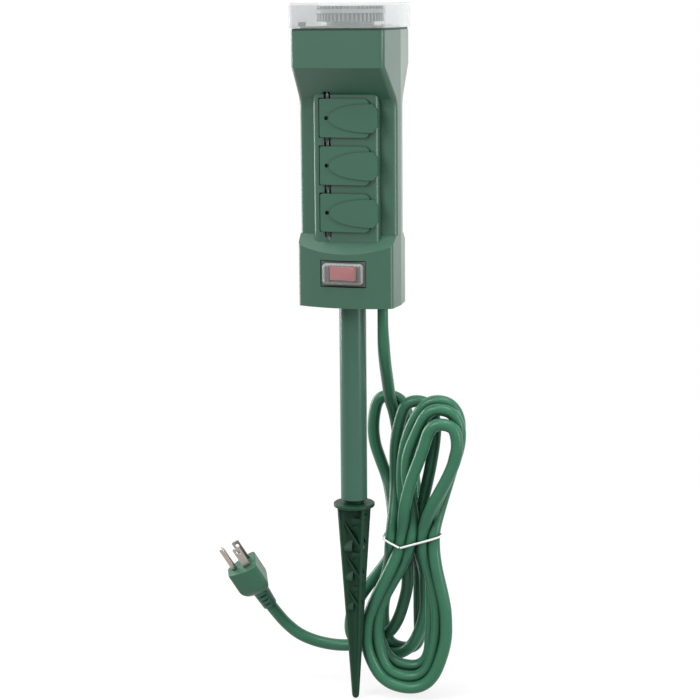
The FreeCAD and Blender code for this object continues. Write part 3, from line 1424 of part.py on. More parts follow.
os.makedirs("parts", exist_ok=True)
save("housing_front", housing_front())
save("housing_rear", housing_rear())
save("housing_screws", housing_screws())
save("timer_deck", timer_deck())
save("cover_gasket", cover_gasket())
save("clear_cover", clear_cover())
save("cover_hinge_pin", cover_hinge_pin())
save("timer_dial", timer_dial())
for quarter, name in enumerate(("night", "morning", "afternoon", "evening")):
    save("trippers_" + name, trippers(quarter))
save("dial_gear", dial_gear())
save("reduction_gear", reduction_gear())
save("motor_pinion", motor_pinion())
save("timer_motor", timer_motor())
save("timer_frame", timer_frame())
save("timer_switch", timer_switch())
save("dial_pointer", dial_pointer())
save("mode_slide", mode_slide())
for row, z in enumerate(outlet_zs(), 1):
    save("outlet_face_front_%d" % row, outlet_face(z))
    save("outlet_face_rear_%d" % row, turned(outlet_face(z)))
    save("outlet_flap_front_%d" % row, outlet_flap(z))
    save("outlet_flap_rear_%d" % row, turned(outlet_flap(z)))
save("hinge_rod_front", hinge_rod())
save("hinge_rod_rear", turned(hinge_rod()))
save("flap_springs_front", flap_springs())
save("flap_springs_rear", turned(flap_springs()))
for name, bar in zip(("neutral_bus", "line_bus", "ground_bus"), bus_bars()):
    save(name, bar)
save("switch_bezel", switch_bezel())
save("switch_body", switch_body())
save("switch_rocker", switch_rocker())
save("switch_boot", switch_boot())
save("switch_lamp", switch_lamp())
save("pole", pole())
save("pole_socket", pole_socket())
save("stake", stake())
save("cord_grommet", cord_grommet())
for name, solid in cords().items():
    save(name, solid)
save("cord_tie", cord_tie())
save("plug_body", plug_body())
save("plug_blades", plug_blades())
save("plug_ground_pin", plug_ground_pin())
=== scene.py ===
# %% [markdown]
# # A garden socket spike
# A moulded box with six covered outlets stands on a round pole and a ground stake. A clock dial sits under
# a clear lid on top, and the supply cord hangs beside the pole as a tied hank. The frame brings in the
# measured solids. This lesson gives each of them its finish, and makes the pieces that need a finer hand.
# %% The frame
import bpy
import json
import math
from mathutils import Matrix, Quaternion, Vector

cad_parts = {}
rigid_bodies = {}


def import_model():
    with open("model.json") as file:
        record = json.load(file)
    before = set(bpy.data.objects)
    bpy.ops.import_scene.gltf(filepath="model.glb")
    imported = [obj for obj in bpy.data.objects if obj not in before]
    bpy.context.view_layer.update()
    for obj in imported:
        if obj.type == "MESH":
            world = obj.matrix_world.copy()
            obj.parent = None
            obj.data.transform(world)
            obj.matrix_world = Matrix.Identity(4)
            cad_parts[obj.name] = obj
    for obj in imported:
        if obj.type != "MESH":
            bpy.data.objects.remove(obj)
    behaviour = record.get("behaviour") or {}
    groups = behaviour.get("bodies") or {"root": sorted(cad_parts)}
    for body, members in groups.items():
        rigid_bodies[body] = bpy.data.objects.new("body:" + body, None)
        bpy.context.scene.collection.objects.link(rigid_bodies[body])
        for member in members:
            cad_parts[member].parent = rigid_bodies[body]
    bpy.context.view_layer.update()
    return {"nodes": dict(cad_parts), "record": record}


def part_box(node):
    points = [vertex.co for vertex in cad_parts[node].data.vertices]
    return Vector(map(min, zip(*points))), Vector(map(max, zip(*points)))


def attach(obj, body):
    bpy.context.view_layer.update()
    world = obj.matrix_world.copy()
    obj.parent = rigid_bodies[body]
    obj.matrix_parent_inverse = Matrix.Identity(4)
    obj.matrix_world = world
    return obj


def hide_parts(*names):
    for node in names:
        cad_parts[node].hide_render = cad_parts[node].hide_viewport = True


def in_mm(corners, digits=None):
    """The coordinates of some corners in millimetres, for the prints."""
    return [round(1000 * c, digits) for corner in corners for c in corner]


for thing in list(bpy.data.objects):
    bpy.data.objects.remove(thing)
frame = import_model()
bodies = frame["record"]["behaviour"]["bodies"]
body_of = {node: body for body, nodes in bodies.items() for node in nodes}

# %% [markdown]
# ## The camera
# The photograph was taken from a little to the right and above, from far off. The camera could be turned by
# hand until it fits, but a place to stand and a place to look at say the same in two lines. The small roll
# and shift are the photographer's own.
# %% The camera
PICTURE = 700
SHIFT = 3
STAND = Vector((0.4061, -1.4164, 0.5821))
AIM = Vector((0.0, 0.0, 0.301))
ROLL = math.radians(0.45)
bpy.ops.object.camera_add(location=STAND)
camera = bpy.context.object
camera.name = "camera"
look = (AIM - STAND).to_track_quat("-Z", "Y") @ Quaternion((0, 0, 1), -ROLL)
camera.rotation_euler = look.to_euler()
camera.data.sensor_width = 36
camera.data.lens = 94.11
camera.data.shift_x = -SHIFT / PICTURE
camera.data.clip_end = 50
bpy.context.scene.camera = camera
bpy.context.view_layer.update()


def pixel(x, y, z):
    """Where a point lands in the square picture."""
    seen = camera.matrix_world.inverted() @ Vector((x, y, z))
    scale = PICTURE * camera.data.lens / camera.data.sensor_width / -seen.z
    middle = PICTURE / 2
    return round(middle + SHIFT + scale * seen.x, 1), round(middle - scale * seen.y, 1)


SPOTS = {
    "top of the panel": (0, -0.0406, 0.5598),
    "top of the lid": (0, -0.0418, 0.581),
    "back of the plug": (-0.0889, 0.02, 0.0797),
    "tip of the stake": (0, 0, 0),
}
for name, spot in SPOTS.items():
    print("the", name, "lands at", pixel(*spot))

# %% [markdown]
# ## Sums with shader sockets
# A finish is a small sum: a mottle times a strength, plus a base. Wired by hand that is a crowd of Math
# nodes. A class that wraps a socket and knows plus, minus and times lets the sum be written as a sum, also
# with a plain number in front, as in 1 - mask.
# %% Sums with shader sockets
class Link:
    """A socket of a finish that can be used in sums."""

    def __init__(self, finish, socket):
        self.finish, self.socket = finish, socket

    def math(self, operation, first, second):
        return self.finish.add("ShaderNodeMath", {"operation": operation}, {0: first, 1: second})

    def __add__(self, other):
        return self.math("ADD", self, other)

    def __sub__(self, other):
        return self.math("SUBTRACT", self, other)

    def __rsub__(self, other):
        return self.math("SUBTRACT", other, self)

    def __mul__(self, other):
        return self.math("MULTIPLY", self, other)

    def most(self, other):
        return self.math("MAXIMUM", self, other)

    __radd__ = __add__
    __rmul__ = __mul__


print("a socket knows:", [name for name in vars(Link) if name.startswith("__r") or name == "most"])

# %% [markdown]
# ## The nodes of a finish
# Every other node could be made with four or five lines of its own. One method does it instead: it takes a
# node's kind and its settings, which are set first, and then the values or links of its sockets. The
# nodes that come again and again get a short name: noise, stretch, mix and bump.
# %% The nodes of a finish
class Finish:
    """The nodes of one material or of the world, built from a few plain calls."""

    def __init__(self, name, owner=None):
        self.owner = owner or bpy.data.materials.new(name)
        self.owner.use_nodes = True
        self.tree = self.owner.node_tree
        self.tree.nodes.clear()
        self.place = self.add("ShaderNodeTexCoord", out="Object")

    def add(self, kind, settings=None, values=None, out=0):
        node = self.tree.nodes.new(kind)
        for name, value in (settings or {}).items():
            setattr(node, name, value)
        for name, value in (values or {}).items():
            if isinstance(value, Link):
                self.tree.links.new(value.socket, node.inputs[name])
            else:
                node.inputs[name].default_value = value
        return Link(self, node.outputs[out])

    def noise(self, scale, detail=2, where=None):
        values = {"Vector": where or self.place, "Scale": scale, "Detail": detail}
        return self.add("ShaderNodeTexNoise", None, values, "Fac")

    def stretch(self, x, y, z):
        return self.add("ShaderNodeMapping", None, {"Vector": self.place, "Scale": (x, y, z)})

    def mix(self, share, first, second):
        return self.add("ShaderNodeMix", {"data_type": "RGBA"}, {0: share, 6: first, 7: second}, 2)

    def bump(self, height, distance):
        return self.add("ShaderNodeBump", None, {"Height": height, "Distance": distance})

    def open_share(self, reach):
        """1 on an open face, down to 0 in a gap narrower than reach."""
        return self.add("ShaderNodeAmbientOcclusion", {"samples": 6}, {"Distance": reach}, "AO")

    def show(self, surface):
        kind = "World" if isinstance(self.owner, bpy.types.World) else "Material"
        end = self.tree.nodes.new("ShaderNodeOutput" + kind)
        self.tree.links.new(surface.socket, end.inputs["Surface"])
        return self.owner


print("a finish offers:", [name for name in vars(Finish) if not name.startswith("_")])

# %% [markdown]
# ## The helpers that every piece needs
# An operator works on whatever is selected, and the frame leaves its nodes selected. So each step first
# picks one object. A piece then gets its material, joins its body, and may stand for the
# solid that it is made from.
# %% The helpers that every piece needs
def pick(obj):
    """Select this object alone."""
    bpy.ops.object.select_all(action="DESELECT")
    obj.select_set(True)
    bpy.context.view_layer.objects.active = obj
    return obj


def modify(obj, kind, **settings):
    """Add a modifier and apply it."""
    pick(obj)
    modifier = obj.modifiers.new(kind.title(), kind)
    for name, value in settings.items():
        setattr(modifier, name, value)
    bpy.ops.object.modifier_apply(modifier=modifier.name)
    return obj


def settle(obj):
    """Put the object's place and turn into its mesh."""
    pick(obj)
    bpy.ops.object.transform_apply(location=True, rotation=True, scale=True)
    return obj


def copy_of(obj, name):
    """A copy that has its own mesh."""
    twin = bpy.data.objects.new(name, obj.data.copy())
    bpy.context.collection.objects.link(twin)
    return twin


def seat(obj, body, slot, material, *nodes):
    """The piece gets its material, rides its body and stands for its solids."""
    obj.data.materials.clear()
    obj.data.materials.append(material)
    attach(obj, body)
    if nodes:
        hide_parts(*nodes)
    return obj


print("helpers:", [step.__name__ for step in (pick, modify, settle, copy_of, seat)])

# %% [markdown]
# ## The cord's two ends
# The cord is one soft tube from the box to the plug. Its jacket is 10.2 mm thick, and a little thinner
# where it comes out of the box. The lead hangs from the box to the hank, and the tail runs from the hank
# to the plug. Both are slow bends, so a few listed points, one every 15 to 20 mm, are enough.
# %% The cord's two ends
CORD_D = 0.0102
BORE_D = 0.0088
LEAD_POINTS = [
    (0.0254, 0.0, 0.3368),
    (0.0254, 0.0, 0.322),
    (0.0248, 0.0045, 0.305),
    (0.0236, 0.013, 0.2895),
    (0.0225, 0.023, 0.276),
    (0.0217, 0.0315, 0.2635),
]
TAIL_POINTS = [
    (0.029, 0.034, 0.06),
    (0.0198, 0.0336, 0.0469),
    (0.0029, 0.034, 0.0377),
    (-0.0183, 0.0346, 0.0324),
    (-0.0403, 0.034, 0.0334),
    (-0.0585, 0.0325, 0.0392),
    (-0.0705, 0.031, 0.0486),
    (-0.0788, 0.0276, 0.0598),
]
PLUG_BACK = (-0.0841, 0.0228, 0.0699)
PLUG_WAY = Vector((-0.392, -0.346, 0.851)).normalized()
PLUG_FACE = Vector(SPOTS["back of the plug"]) + PLUG_WAY * 0.0365
print("points by hand:", len(LEAD_POINTS), "for the lead and", len(TAIL_POINTS), "for the tail")

# %% [markdown]
# ## Loops, bends and places at the tie
# Between lead and tail the cord lies as a hank: five loops above the tie and five bends below it. They could
# be drawn by hand too, but at the tie eleven limbs pass side by side, and each needs its own place there. So
# a loop or bend is three spots and a depth, a limb is a place at the tie, and a list gives their order.
# %% Loops, bends and places at the tie
WAIST_Z = 0.14
# Top loop: depth, left (x, z, slope), crown (x, z), right (x, z, slope)
LOBES = {
    "E": (0.0025, (0.0532, 0.2063, 0.4), (0.077, 0.2418), (0.087, 0.224, 0.05)),
    "D": (0.012, (0.0462, 0.221, 0.42), (0.072, 0.252), (0.0872, 0.233, 0.0)),
    "C": (0.0214, (0.0425, 0.231, 0.38), (0.0685, 0.257), (0.0848, 0.238, 0.0)),
    "B": (0.0308, (0.029, 0.224, 0.16), (0.0475, 0.254), (0.062, 0.229, 0.06)),
    "A": (0.0496, (0.0035, 0.222, -0.03), (0.0185, 0.253), (0.0335, 0.234, 0.0)),
}
# Bottom bend: depth, left (x, z, slope), crown (x, z), right (x, z, slope)
BENDS = {
    "b3": (0.0098, (0.007, 0.054, 0.0), (0.04, 0.0096), (0.0766, 0.07, 0.0)),
    "b4": (0.0154, (0.0146, 0.06, 0.0), (0.0388, 0.0171), (0.0676, 0.074, 0.0)),
    "b1": (0.0248, (0.0135, 0.058, 0.0), (0.037, 0.0236), (0.0602, 0.086, 0.0)),
    "b2": (0.0434, (-0.017, 0.048, 0.0), (0.016, 0.026), (0.0505, 0.08, 0.0)),
    "b5": (0.0528, (0.0105, 0.06, 0.0), (0.027, 0.029), (0.0425, 0.078, 0.0)),
}
# Place at the tie: x, y, lean, share of the height in which depth changes, up and down
SLOTS = {
    "B_L": (0.0285, 0.012, 0.1, 0.62, 0.42),
    "E_L": (0.0376, 0.012, 0.16, 0.5, 0.35),
    "D_L": (0.0466, 0.012, 0.2, 0.5, 0.3),
    "E_R": (0.0562, 0.012, 0.0, 0.5, 0.6),
    "C_R": (0.0653, 0.012, 0.0, 0.36, 0.4),
    "A_L": (0.0284, 0.022, 0.0, 0.62, 0.34),
    "C_L": (0.0378, 0.0213, 0.0, 0.5, 1.0),
    "B_R": (0.0498, 0.0209, 0.0, 0.62, 0.8),
    "D_R": (0.0593, 0.0216, 0.0, 0.36, 0.5),
    "A_R": (0.0442, 0.0286, 0.0, 0.5, 0.8),
    "lead": (0.0344, 0.0314, 0.0, 0.62, 0.9),
}
CORD_ORDER = [
    ("lead", "b5", "A_R", "A"),
    ("A_L", "b2", "B_R", "B"),
    ("B_L", "b1", "D_R", "D"),
    ("D_L", "b4", "E_R", "E"),
    ("E_L", "b3", "C_R", "C"),
]
# Where the first limb and the last one end: depth, side (x, z, slope)
LEAD_SIDE = (0.0402, (0.0253, 0.236, -0.18))
TAIL_SIDE = (0.034, (0.0346, 0.08, 0.28))
print("the hank has", len(LOBES), "loops,", len(BENDS), "bends and", len(SLOTS), "places at the tie")

# %% [markdown]
# ## A limb of the hank
# A limb leaves its place at the tie and runs to the side of a loop or a bend, across and also forwards or
# backwards to that loop's depth. A straight line would cut through its neighbours. So both moves ease in and
# out, and the depth may change early or late, which lets one limb slip past another.
# %% A limb of the hank
LIMB_STEPS = (0.3, 0.6)


def ease(u):
    """Smooth step from 0 to 1, and how fast it climbs."""
    u = min(1.0, max(0.0, u))
    return u * u * (3 - 2 * u), 6 * u * (1 - u)


def limb(slot, plane, side):
    """Places and directions from the tie out to the side of a loop or a bend."""
    x0, y0, lean, up, down = SLOTS[slot]
    x1, z1, slope = side
    height = z1 - WAIST_Z
    early = up if height > 0 else down
    away = math.copysign(1, height)
    places = [(Vector((x0, y0, WAIST_Z)), Vector((lean, 0, 1)).normalized() * away)]
    for u in LIMB_STEPS:
        across, across_rate = ease(u)
        deep, deep_rate = ease(u / early)
        bend = slope * (u**3 - u**2) + lean * (u**3 - 2 * u**2 + u)
        bend_rate = slope * (3 * u**2 - 2 * u) + lean * (3 * u**2 - 4 * u + 1)
        x = x0 + (x1 - x0) * across + bend * height
        y = y0 + (plane - y0) * deep
        dx = (x1 - x0) * across_rate / height + bend_rate
        dy = (plane - y0) * deep_rate / (early * height)
        places.append((Vector((x, y, WAIST_Z + u * height)), Vector((dx, dy, 1)).normalized() * away))
    places.append((Vector((x1, plane, z1)), Vector((slope, 0, 1)).normalized() * away))
    return places


def backwards(places):
    """The same places for a cord that comes the other way."""
    return [(spot, -way) for spot, way in reversed(places)]


print("a limb has", len(limb("lead", *LEAD_SIDE)), "places")

# %% [markdown]
# ## The cord's whole way
# The places follow each other in the cord's own order: lead, limbs, bends, crowns and tail. A spline that
# goes through places alone would swing out between them. So each pair of places gets two corner points,
# which make the cord leave the one and reach the other in its own direction, on two arcs.
# %% The cord's whole way
STRAIGHT = 1e-9


def hank_places():
    """Every place that the hank passes, in the cord's own order."""
    before, start = Vector(LEAD_POINTS[-2]), Vector(LEAD_POINTS[-1])
    way = (start - before).normalized()
    places = [(start, way), (start + way * BORE_D, way)]
    places += backwards(limb("lead", *LEAD_SIDE))
    for left, bend, right, lobe in CORD_ORDER:
        plane, left_side, crown, right_side = BENDS[bend]
        places += limb(left, plane, left_side)[1:]
        places.append((Vector((crown[0], plane, crown[1])), Vector((1, 0, 0))))
        places += backwards(limb(right, plane, right_side))
        plane, left_side, crown, right_side = LOBES[lobe]
        places += limb(right, plane, right_side)[1:]
        places.append((Vector((crown[0], plane, crown[1])), Vector((-1, 0, 0))))
        places += backwards(limb(lobe + "_L", plane, left_side))
    places += limb("C_L", *TAIL_SIDE)[1:]
    return places


def corners(first, second):
    """The two corner points that steer the cord from one place to the next."""
    (p1, t1), (p2, t2) = first, second
    gap, ways = p2 - p1, t1 + t2
    spread = 2 * (1 - t1.dot(t2))
    if spread < STRAIGHT:
        reach = gap.dot(gap) / (4 * gap.dot(t2))
    else:
        reach = (math.sqrt(gap.dot(ways) ** 2 + spread * gap.dot(gap)) - gap.dot(ways)) / spread
    return [p1 + t1 * reach, p2 - t2 * reach]


places = hank_places()
route = [Vector(p) for p in LEAD_POINTS]
for first, second in zip(places[1:], places[2:]):
    route += corners(first, second)
route += [Vector(p) for p in TAIL_POINTS] + [Vector(PLUG_BACK)]
print("the cord is steered by", len(route), "points")

# %% [markdown]
# ## The cord
# The jacket is a smooth tube with a soft shine. A tube of mesh rings would do, but a NURBS spline with a
# round bevel keeps one even thickness through every bend and can be steered by a few points. Its order and
# ends are set after the points are there, because set before they are lost. The first two knots, in the
# hole of the box, are thinner. In the hank the limbs press into each other a little, as soft vinyl does.
# %% The cord
def spline(name, points, radius, rings=6, steps=10):
    """A round NURBS cord through the bends that its points steer."""
    curve = bpy.data.curves.new(name, "CURVE")
    curve.dimensions = "3D"
    line = curve.splines.new("NURBS")
    line.points.add(len(points) - 1)
    for knot, spot in zip(line.points, points):
        knot.co = (*spot, 1)
    line.order_u = 3
    line.use_endpoint_u = True
    line.resolution_u = steps
    curve.resolution_u = steps
    curve.bevel_depth = radius
    curve.bevel_resolution = rings
    curve.use_fill_caps = True
    obj = bpy.data.objects.new(name, curve)
    bpy.context.collection.objects.link(obj)
    return obj


def length_of(obj):
    """The drawn length of a curve, read with its bevel taken off for a moment."""
    depth, obj.data.bevel_depth = obj.data.bevel_depth, 0
    line = bpy.data.meshes.new_from_object(obj)
    obj.data.bevel_depth = depth
    spots = [v.co for v in line.vertices]
    total = sum((b - a).length for a, b in zip(spots, spots[1:]))
    bpy.data.meshes.remove(line)
    return total


KNOTS_IN_HOLE = 2
cord = spline("supply_cord", route, CORD_D / 2)
for knot in cord.data.splines[0].points[:KNOTS_IN_HOLE]:
    knot.radius = BORE_D / CORD_D
print("the cord is", round(length_of(cord), 3), "m long")

# %% [markdown]
# ## The cord's finish
# Soft vinyl is drawn over the wires, so its shine breaks up in faint patches and in small dents where it was
# coiled. A picture of vinyl would slide along the bends. Noise on the object's own place stays put, and a low
# bump gives the dents. Little light gets between two limbs or into a narrow gap. An Ambient Occlusion node
# measures how open a spot is, and the colour is painted darker where it is closed, as painted shade.
# %% The cord's finish
# How dark the painted shade in corners and creases is, as a share of the dark colour
CORNER_SHADE = 0.25


def plastic(name, dark, light, rough, swing, cloud=22, grain=1400, depth=0.00004, gloss=0.45, reach=0.002):
    """Moulded plastic: a faint mottle, an uneven gloss, a fine grain and dark corners.

    cloud and grain say how fine the mottle and the grain are, swing how far the roughness strays, and reach
    how wide a gap still counts as a corner. The dark corners are painted shade.
    """
    finish = Finish(name)
    blotch = finish.noise(cloud, 3)
    speck = finish.noise(cloud * 9, 2)
    share = blotch * 0.7 + speck * 0.3
    corner = tuple(CORNER_SHADE * c for c in dark)
    face = finish.mix(share, (*dark, 1), (*light, 1))
    fine = finish.noise(grain, 2)
    wave = finish.noise(cloud * 4, 2)
    values = {
        # Painted shade: the colour darkens in gaps narrower than reach
        "Base Color": finish.mix(finish.open_share(reach), (*corner, 1), face),
        "Roughness": blotch * swing + (rough - swing / 2),
        "Normal": finish.bump(fine * 0.6 + wave * 0.4, depth),
        "Specular IOR Level": gloss,
    }
    return finish.show(finish.add("ShaderNodeBsdfPrincipled", None, values))


CORD_GREEN = plastic("cord_vinyl", (0.025, 0.122, 0.066), (0.040, 0.160, 0.092), 0.3, 0.1, 60, 700, 0.00012,
                     gloss=0.25, reach=0.006)
seat(cord, "mast", "cord_green", CORD_GREEN, "cord_lead", "cord_hank", "cord_tail")
print(CORD_GREEN.name, "has", len(CORD_GREEN.node_tree.nodes), "nodes")

# %% [markdown]
# ## The tie
# A soft white tie goes once round the hank, a little aslant, and its two ends are twisted together at the
# back. It could be a plain ring, but then nothing would hold it shut. So the same kind of spline runs down
# one tail, round the cords and up the other tail, and the two tails wind round each other.
# %% The tie
TIE_R = 0.0009
TIE_GAP = 0.001
TIE_OUT = CORD_D / 2 + TIE_GAP + TIE_R
# The tie's lowest height, and how steeply it climbs from there to the left and to the right
TIE_LOW, TIE_LEFT, TIE_RIGHT = 0.1335, 0.45, 0.34
CORNER_PUSH = 1.12
# The limbs on the outside of the bundle, in order round it
RING = ["B_L", "E_L", "C_R", "D_R", "A_R", "lead", "A_L"]
TAIL_KNOTS, TAIL_STEP, TAIL_TURN, TAIL_R = 13, 0.0009, math.radians(75), 0.001
TAIL_FOOT = Vector((-0.004, TIE_OUT + 0.0012, 0))


def tie_points():
    """Corner points round the hank, with the twisted tails where the ring shuts at the back."""
    spots = [Vector((SLOTS[k][0], SLOTS[k][1], 0)) for k in RING]
    ring = []
    for k, spot in enumerate(spots):
        before, after = spots[k - 1], spots[(k + 1) % len(spots)]
        out_1 = (spot - before).normalized().cross(Vector((0, 0, 1)))
        out_2 = (after - spot).normalized().cross(Vector((0, 0, 1)))
        for out in (out_1, (out_1 + out_2).normalized() * CORNER_PUSH, out_2):
            ring.append(spot + out * TIE_OUT)
    shut = 3 * RING.index("A_R") + 2
    ring = ring[shut + 1:] + ring[:shut]
    foot = spots[RING.index("A_R")] + TAIL_FOOT
    tails = []
    for side in (0, math.pi):
        tail = []
        for k in range(TAIL_KNOTS):
            turn = side + k * TAIL_TURN
            tail.append(foot + Vector((-TAIL_STEP * k, TAIL_R * math.sin(turn), TAIL_R * math.cos(turn))))
        tails.append(tail)
    points = list(reversed(tails[0])) + ring + tails[1]
    low = spots[RING.index("E_L")].x
    return [Vector((p.x, p.y, TIE_LOW + p.z + (TIE_LEFT if p.x < low else TIE_RIGHT) * abs(p.x - low)))
            for p in points]


tie = spline("twist_tie", tie_points(), TIE_R, 3, 6)
print("the tie is", round(length_of(tie) * 1000), "mm long")
TIE_WHITE = plastic("tie_vinyl", (0.72, 0.74, 0.72), (0.84, 0.85, 0.83), 0.45, 0.1, 120, 2500, 0.00005)
seat(tie, "mast", "tie_white", TIE_WHITE, "cord_tie")

# %% [markdown]
# ## Copies with soft edges
# The frame's solids have the right forms but razor edges and loose triangles. A moulded piece has edges
# that catch a line of light. The solid itself is left alone. A copy of it has its doubles merged, its flat
# faces joined and its edges bevelled, and then it stands for the solid. A bevel of 0 leaves the edges as
# they are, on fine teeth, thin strips, the lamp and the soft boot.
# %% Copies with soft edges
DOUBLE = 0.000004
FLAT = math.radians(0.6)
SHARP = math.radians(35)


def soften(node, name, bevel):
    """A merged copy of a solid, with a small round on every sharp edge."""
    obj = pick(copy_of(frame["nodes"][node], name))
    bpy.ops.mesh.customdata_custom_splitnormals_clear()
    bpy.ops.object.mode_set(mode="EDIT")
    bpy.ops.mesh.select_all(action="SELECT")
    bpy.ops.mesh.remove_doubles(threshold=DOUBLE)
    bpy.ops.mesh.dissolve_limited(angle_limit=FLAT)
    bpy.ops.object.mode_set(mode="OBJECT")
    if bevel:
        modify(obj, "BEVEL", width=bevel, segments=2, limit_method="ANGLE", angle_limit=SHARP)
    pick(obj)
    bpy.ops.object.shade_smooth_by_angle(angle=SHARP)
    return modify(obj, "WEIGHTED_NORMAL", keep_sharp=True, weight=60)


def dress(node, slot, material, bevel):
    """The soft copy of a solid, with its finish, on the solid's own body."""
    obj = soften(node, node + "_piece", bevel)
    print(obj.name, "has", len(obj.data.polygons), "faces and rides", body_of[node])
    return seat(obj, body_of[node], slot, material, node)


print("solids that can be softened:", len(body_of))

# %% [markdown]
# ## The housing
# Two moulded shells close on the middle plane. Their surface is spark eroded in the mould, so it is matt
# with a soft grain. One finish serves both, and the flaps get a smoother one of a slightly different green.
# %% The housing
HOUSING_GREEN = plastic("housing_plastic", (0.026, 0.087, 0.054), (0.033, 0.102, 0.065), 0.37, 0.08,
                        gloss=0.5)
for node in ("housing_front", "housing_rear"):
    dress(node, "housing_green", HOUSING_GREEN, 0.0004)

# %% [markdown]
# ## The flaps and outlets
# Each flap is a thin plate with a raised tongue for the finger. Copies of one flap would do, but each has
# its own solid and its own hinge, so each solid is softened by itself. Behind them sit dark outlet faces.
# %% The flaps and outlets
FLAP_GREEN = plastic("flap_plastic", (0.026, 0.092, 0.057), (0.034, 0.108, 0.069), 0.35, 0.08)
OUTLET_BLACK = plastic("outlet_plastic", (0.016, 0.020, 0.019), (0.028, 0.033, 0.031), 0.42, 0.1)
for side in ("front", "rear"):
    for k in (1, 2, 3):
        dress("outlet_flap_%s_%d" % (side, k), "flap_green", FLAP_GREEN, 0.0003)
        dress("outlet_face_%s_%d" % (side, k), "outlet_black", OUTLET_BLACK, 0.00015)

# %% [markdown]
# ## Metal
# Drawn rods and wire show fine lines along their length, plate shows a soft cloud of zinc, and blades have
# bright nickel. One finish with a stretched noise covers all three, with other colours and lines.
# %% Metal
# The colour of the painted shade that metal takes in gaps narrower than 3 mm
METAL_PAINTED_SHADE = (0.01, 0.01, 0.01, 1)


def metal(name, dark, light, rough, lines):
    """Metal with drawn lines or a cloud, dark in its corners; lines says how fine along x, y and z."""
    finish = Finish(name)
    grain = finish.noise(1, 3, finish.stretch(*lines))
    cloud = finish.noise(60, 3)
    share = grain * 0.5 + cloud * 0.5
    values = {
        # Painted shade: the colour goes nearly black in the metal's narrow gaps
        "Base Color": finish.mix(finish.open_share(0.003), METAL_PAINTED_SHADE, finish.mix(share, (*dark, 1), (*light, 1))),
        "Metallic": 1.0,
        "Roughness": share * 0.2 + (rough - 0.1),
        "Normal": finish.bump(grain, 0.00002),
    }
    return finish.show(finish.add("ShaderNodeBsdfPrincipled", None, values))


# The steel is far darker than bare steel: painted shade for the rods and springs, which lie in narrow slots
STEEL = metal("drawn_steel", (0.07, 0.08, 0.075), (0.14, 0.15, 0.14), 0.42, (2500, 2500, 120))
ZINC = metal("zinc_plate", (0.44, 0.45, 0.44), (0.62, 0.62, 0.6), 0.38, (260, 260, 260))
BRASS = metal("brass_strip", (0.56, 0.40, 0.15), (0.80, 0.60, 0.26), 0.3, (1500, 1500, 90))
NICKEL = metal("nickel_blade", (0.30, 0.26, 0.235), (0.44, 0.40, 0.365), 0.34, (900, 900, 160))
for node in ("hinge_rod_front", "hinge_rod_rear", "cover_hinge_pin", "housing_screws"):
    dress(node, "steel", STEEL, 0.00015)
for node in ("timer_motor", "timer_frame"):
    dress(node, "steel_plate", ZINC, 0.0002)
for node in ("neutral_bus", "line_bus", "ground_bus"):
    dress(node, "brass_strip", BRASS, 0.0)
for node in ("plug_blades", "plug_ground_pin"):
    dress(node, "plug_metal", NICKEL, 0.0002)

# %% [markdown]
# ## The flaps' springs
# A small coil spring on the rod closes each flap. The solids are thin six sided wires. A round one is
# wound by the Screw modifier: a small circle of wire is turned round the rod's axis while it climbs. All six
# springs are alike, so one is wound and then copied to each flap.
# %% The flaps' springs
HINGE_X, HINGE_Y = -0.0147, -0.0172
OUTLET_PITCH = 0.0376
WIRE_R = 0.00035
ROD_R, ROD_ROOM = 0.0013, 0.00035
COIL_R = ROD_R + ROD_ROOM + WIRE_R
COIL_TURNS, STEPS_A_TURN = 4, 20


def coil(height):
    """A round wire wound about the Z axis, from the origin up."""
    bpy.ops.object.select_all(action="DESELECT")
    bpy.ops.mesh.primitive_circle_add(vertices=8, radius=WIRE_R, rotation=(math.pi / 2, 0, 0),
                                      location=(COIL_R, 0, 0))
    wire = settle(bpy.context.object)
    steps = STEPS_A_TURN * COIL_TURNS
    modify(wire, "SCREW", axis="Z", angle=2 * math.pi * COIL_TURNS, screw_offset=height, iterations=1,
           steps=steps, render_steps=steps, use_merge_vertices=False)
    bpy.ops.object.mode_set(mode="EDIT")
    bpy.ops.mesh.select_all(action="SELECT")
    bpy.ops.mesh.remove_doubles(threshold=0.00001)
    bpy.ops.mesh.select_all(action="DESELECT")
    bpy.ops.mesh.select_non_manifold()
    bpy.ops.mesh.fill_holes(sides=0)
    bpy.ops.mesh.select_all(action="SELECT")
    bpy.ops.mesh.normals_make_consistent(inside=False)
    bpy.ops.object.mode_set(mode="OBJECT")
    bpy.ops.object.shade_smooth_by_angle(angle=math.radians(50))
    return wire


low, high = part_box("flap_springs_front")
wound = coil(high.z - low.z - 2 * OUTLET_PITCH - 2 * WIRE_R)
for side, sign in (("front", 1), ("rear", -1)):
    for k in range(3):
        spring = copy_of(wound, "flap_spring_%s_%d" % (side, k + 1))
        spring.location = (sign * HINGE_X, sign * HINGE_Y, low.z + WIRE_R + (2 - k) * OUTLET_PITCH)
        seat(settle(spring), "mast", "steel", STEEL, "flap_springs_" + side)
bpy.data.objects.remove(wound)
print("springs from", in_mm([low], 1), "to", in_mm([high], 1))

# %% [markdown]
# ## The pole and the stake
# The pole is a painted steel tube, smooth and a little shinier than the box. The stake is moulded, with a
# collar on which the foot presses. Both are softened copies, with their own greens. Light hardly gets
# between the stake's webs, so its dark corners reach further out than those of other pieces.
# %% The pole and the stake
POLE_GREEN = plastic("pole_paint", (0.042, 0.110, 0.078), (0.052, 0.128, 0.092), 0.26, 0.06, 30, 900,
                     gloss=0.2)
STAKE_GREEN = plastic("stake_plastic", (0.010, 0.044, 0.023), (0.015, 0.058, 0.031), 0.4, 0.1, 26, 1200,
                      gloss=0.15, reach=0.012)
dress("pole", "pole_green", POLE_GREEN, 0.0003)
dress("pole_socket", "housing_green", HOUSING_GREEN, 0.0003)
dress("stake", "stake_green", STAKE_GREEN, 0.0003)

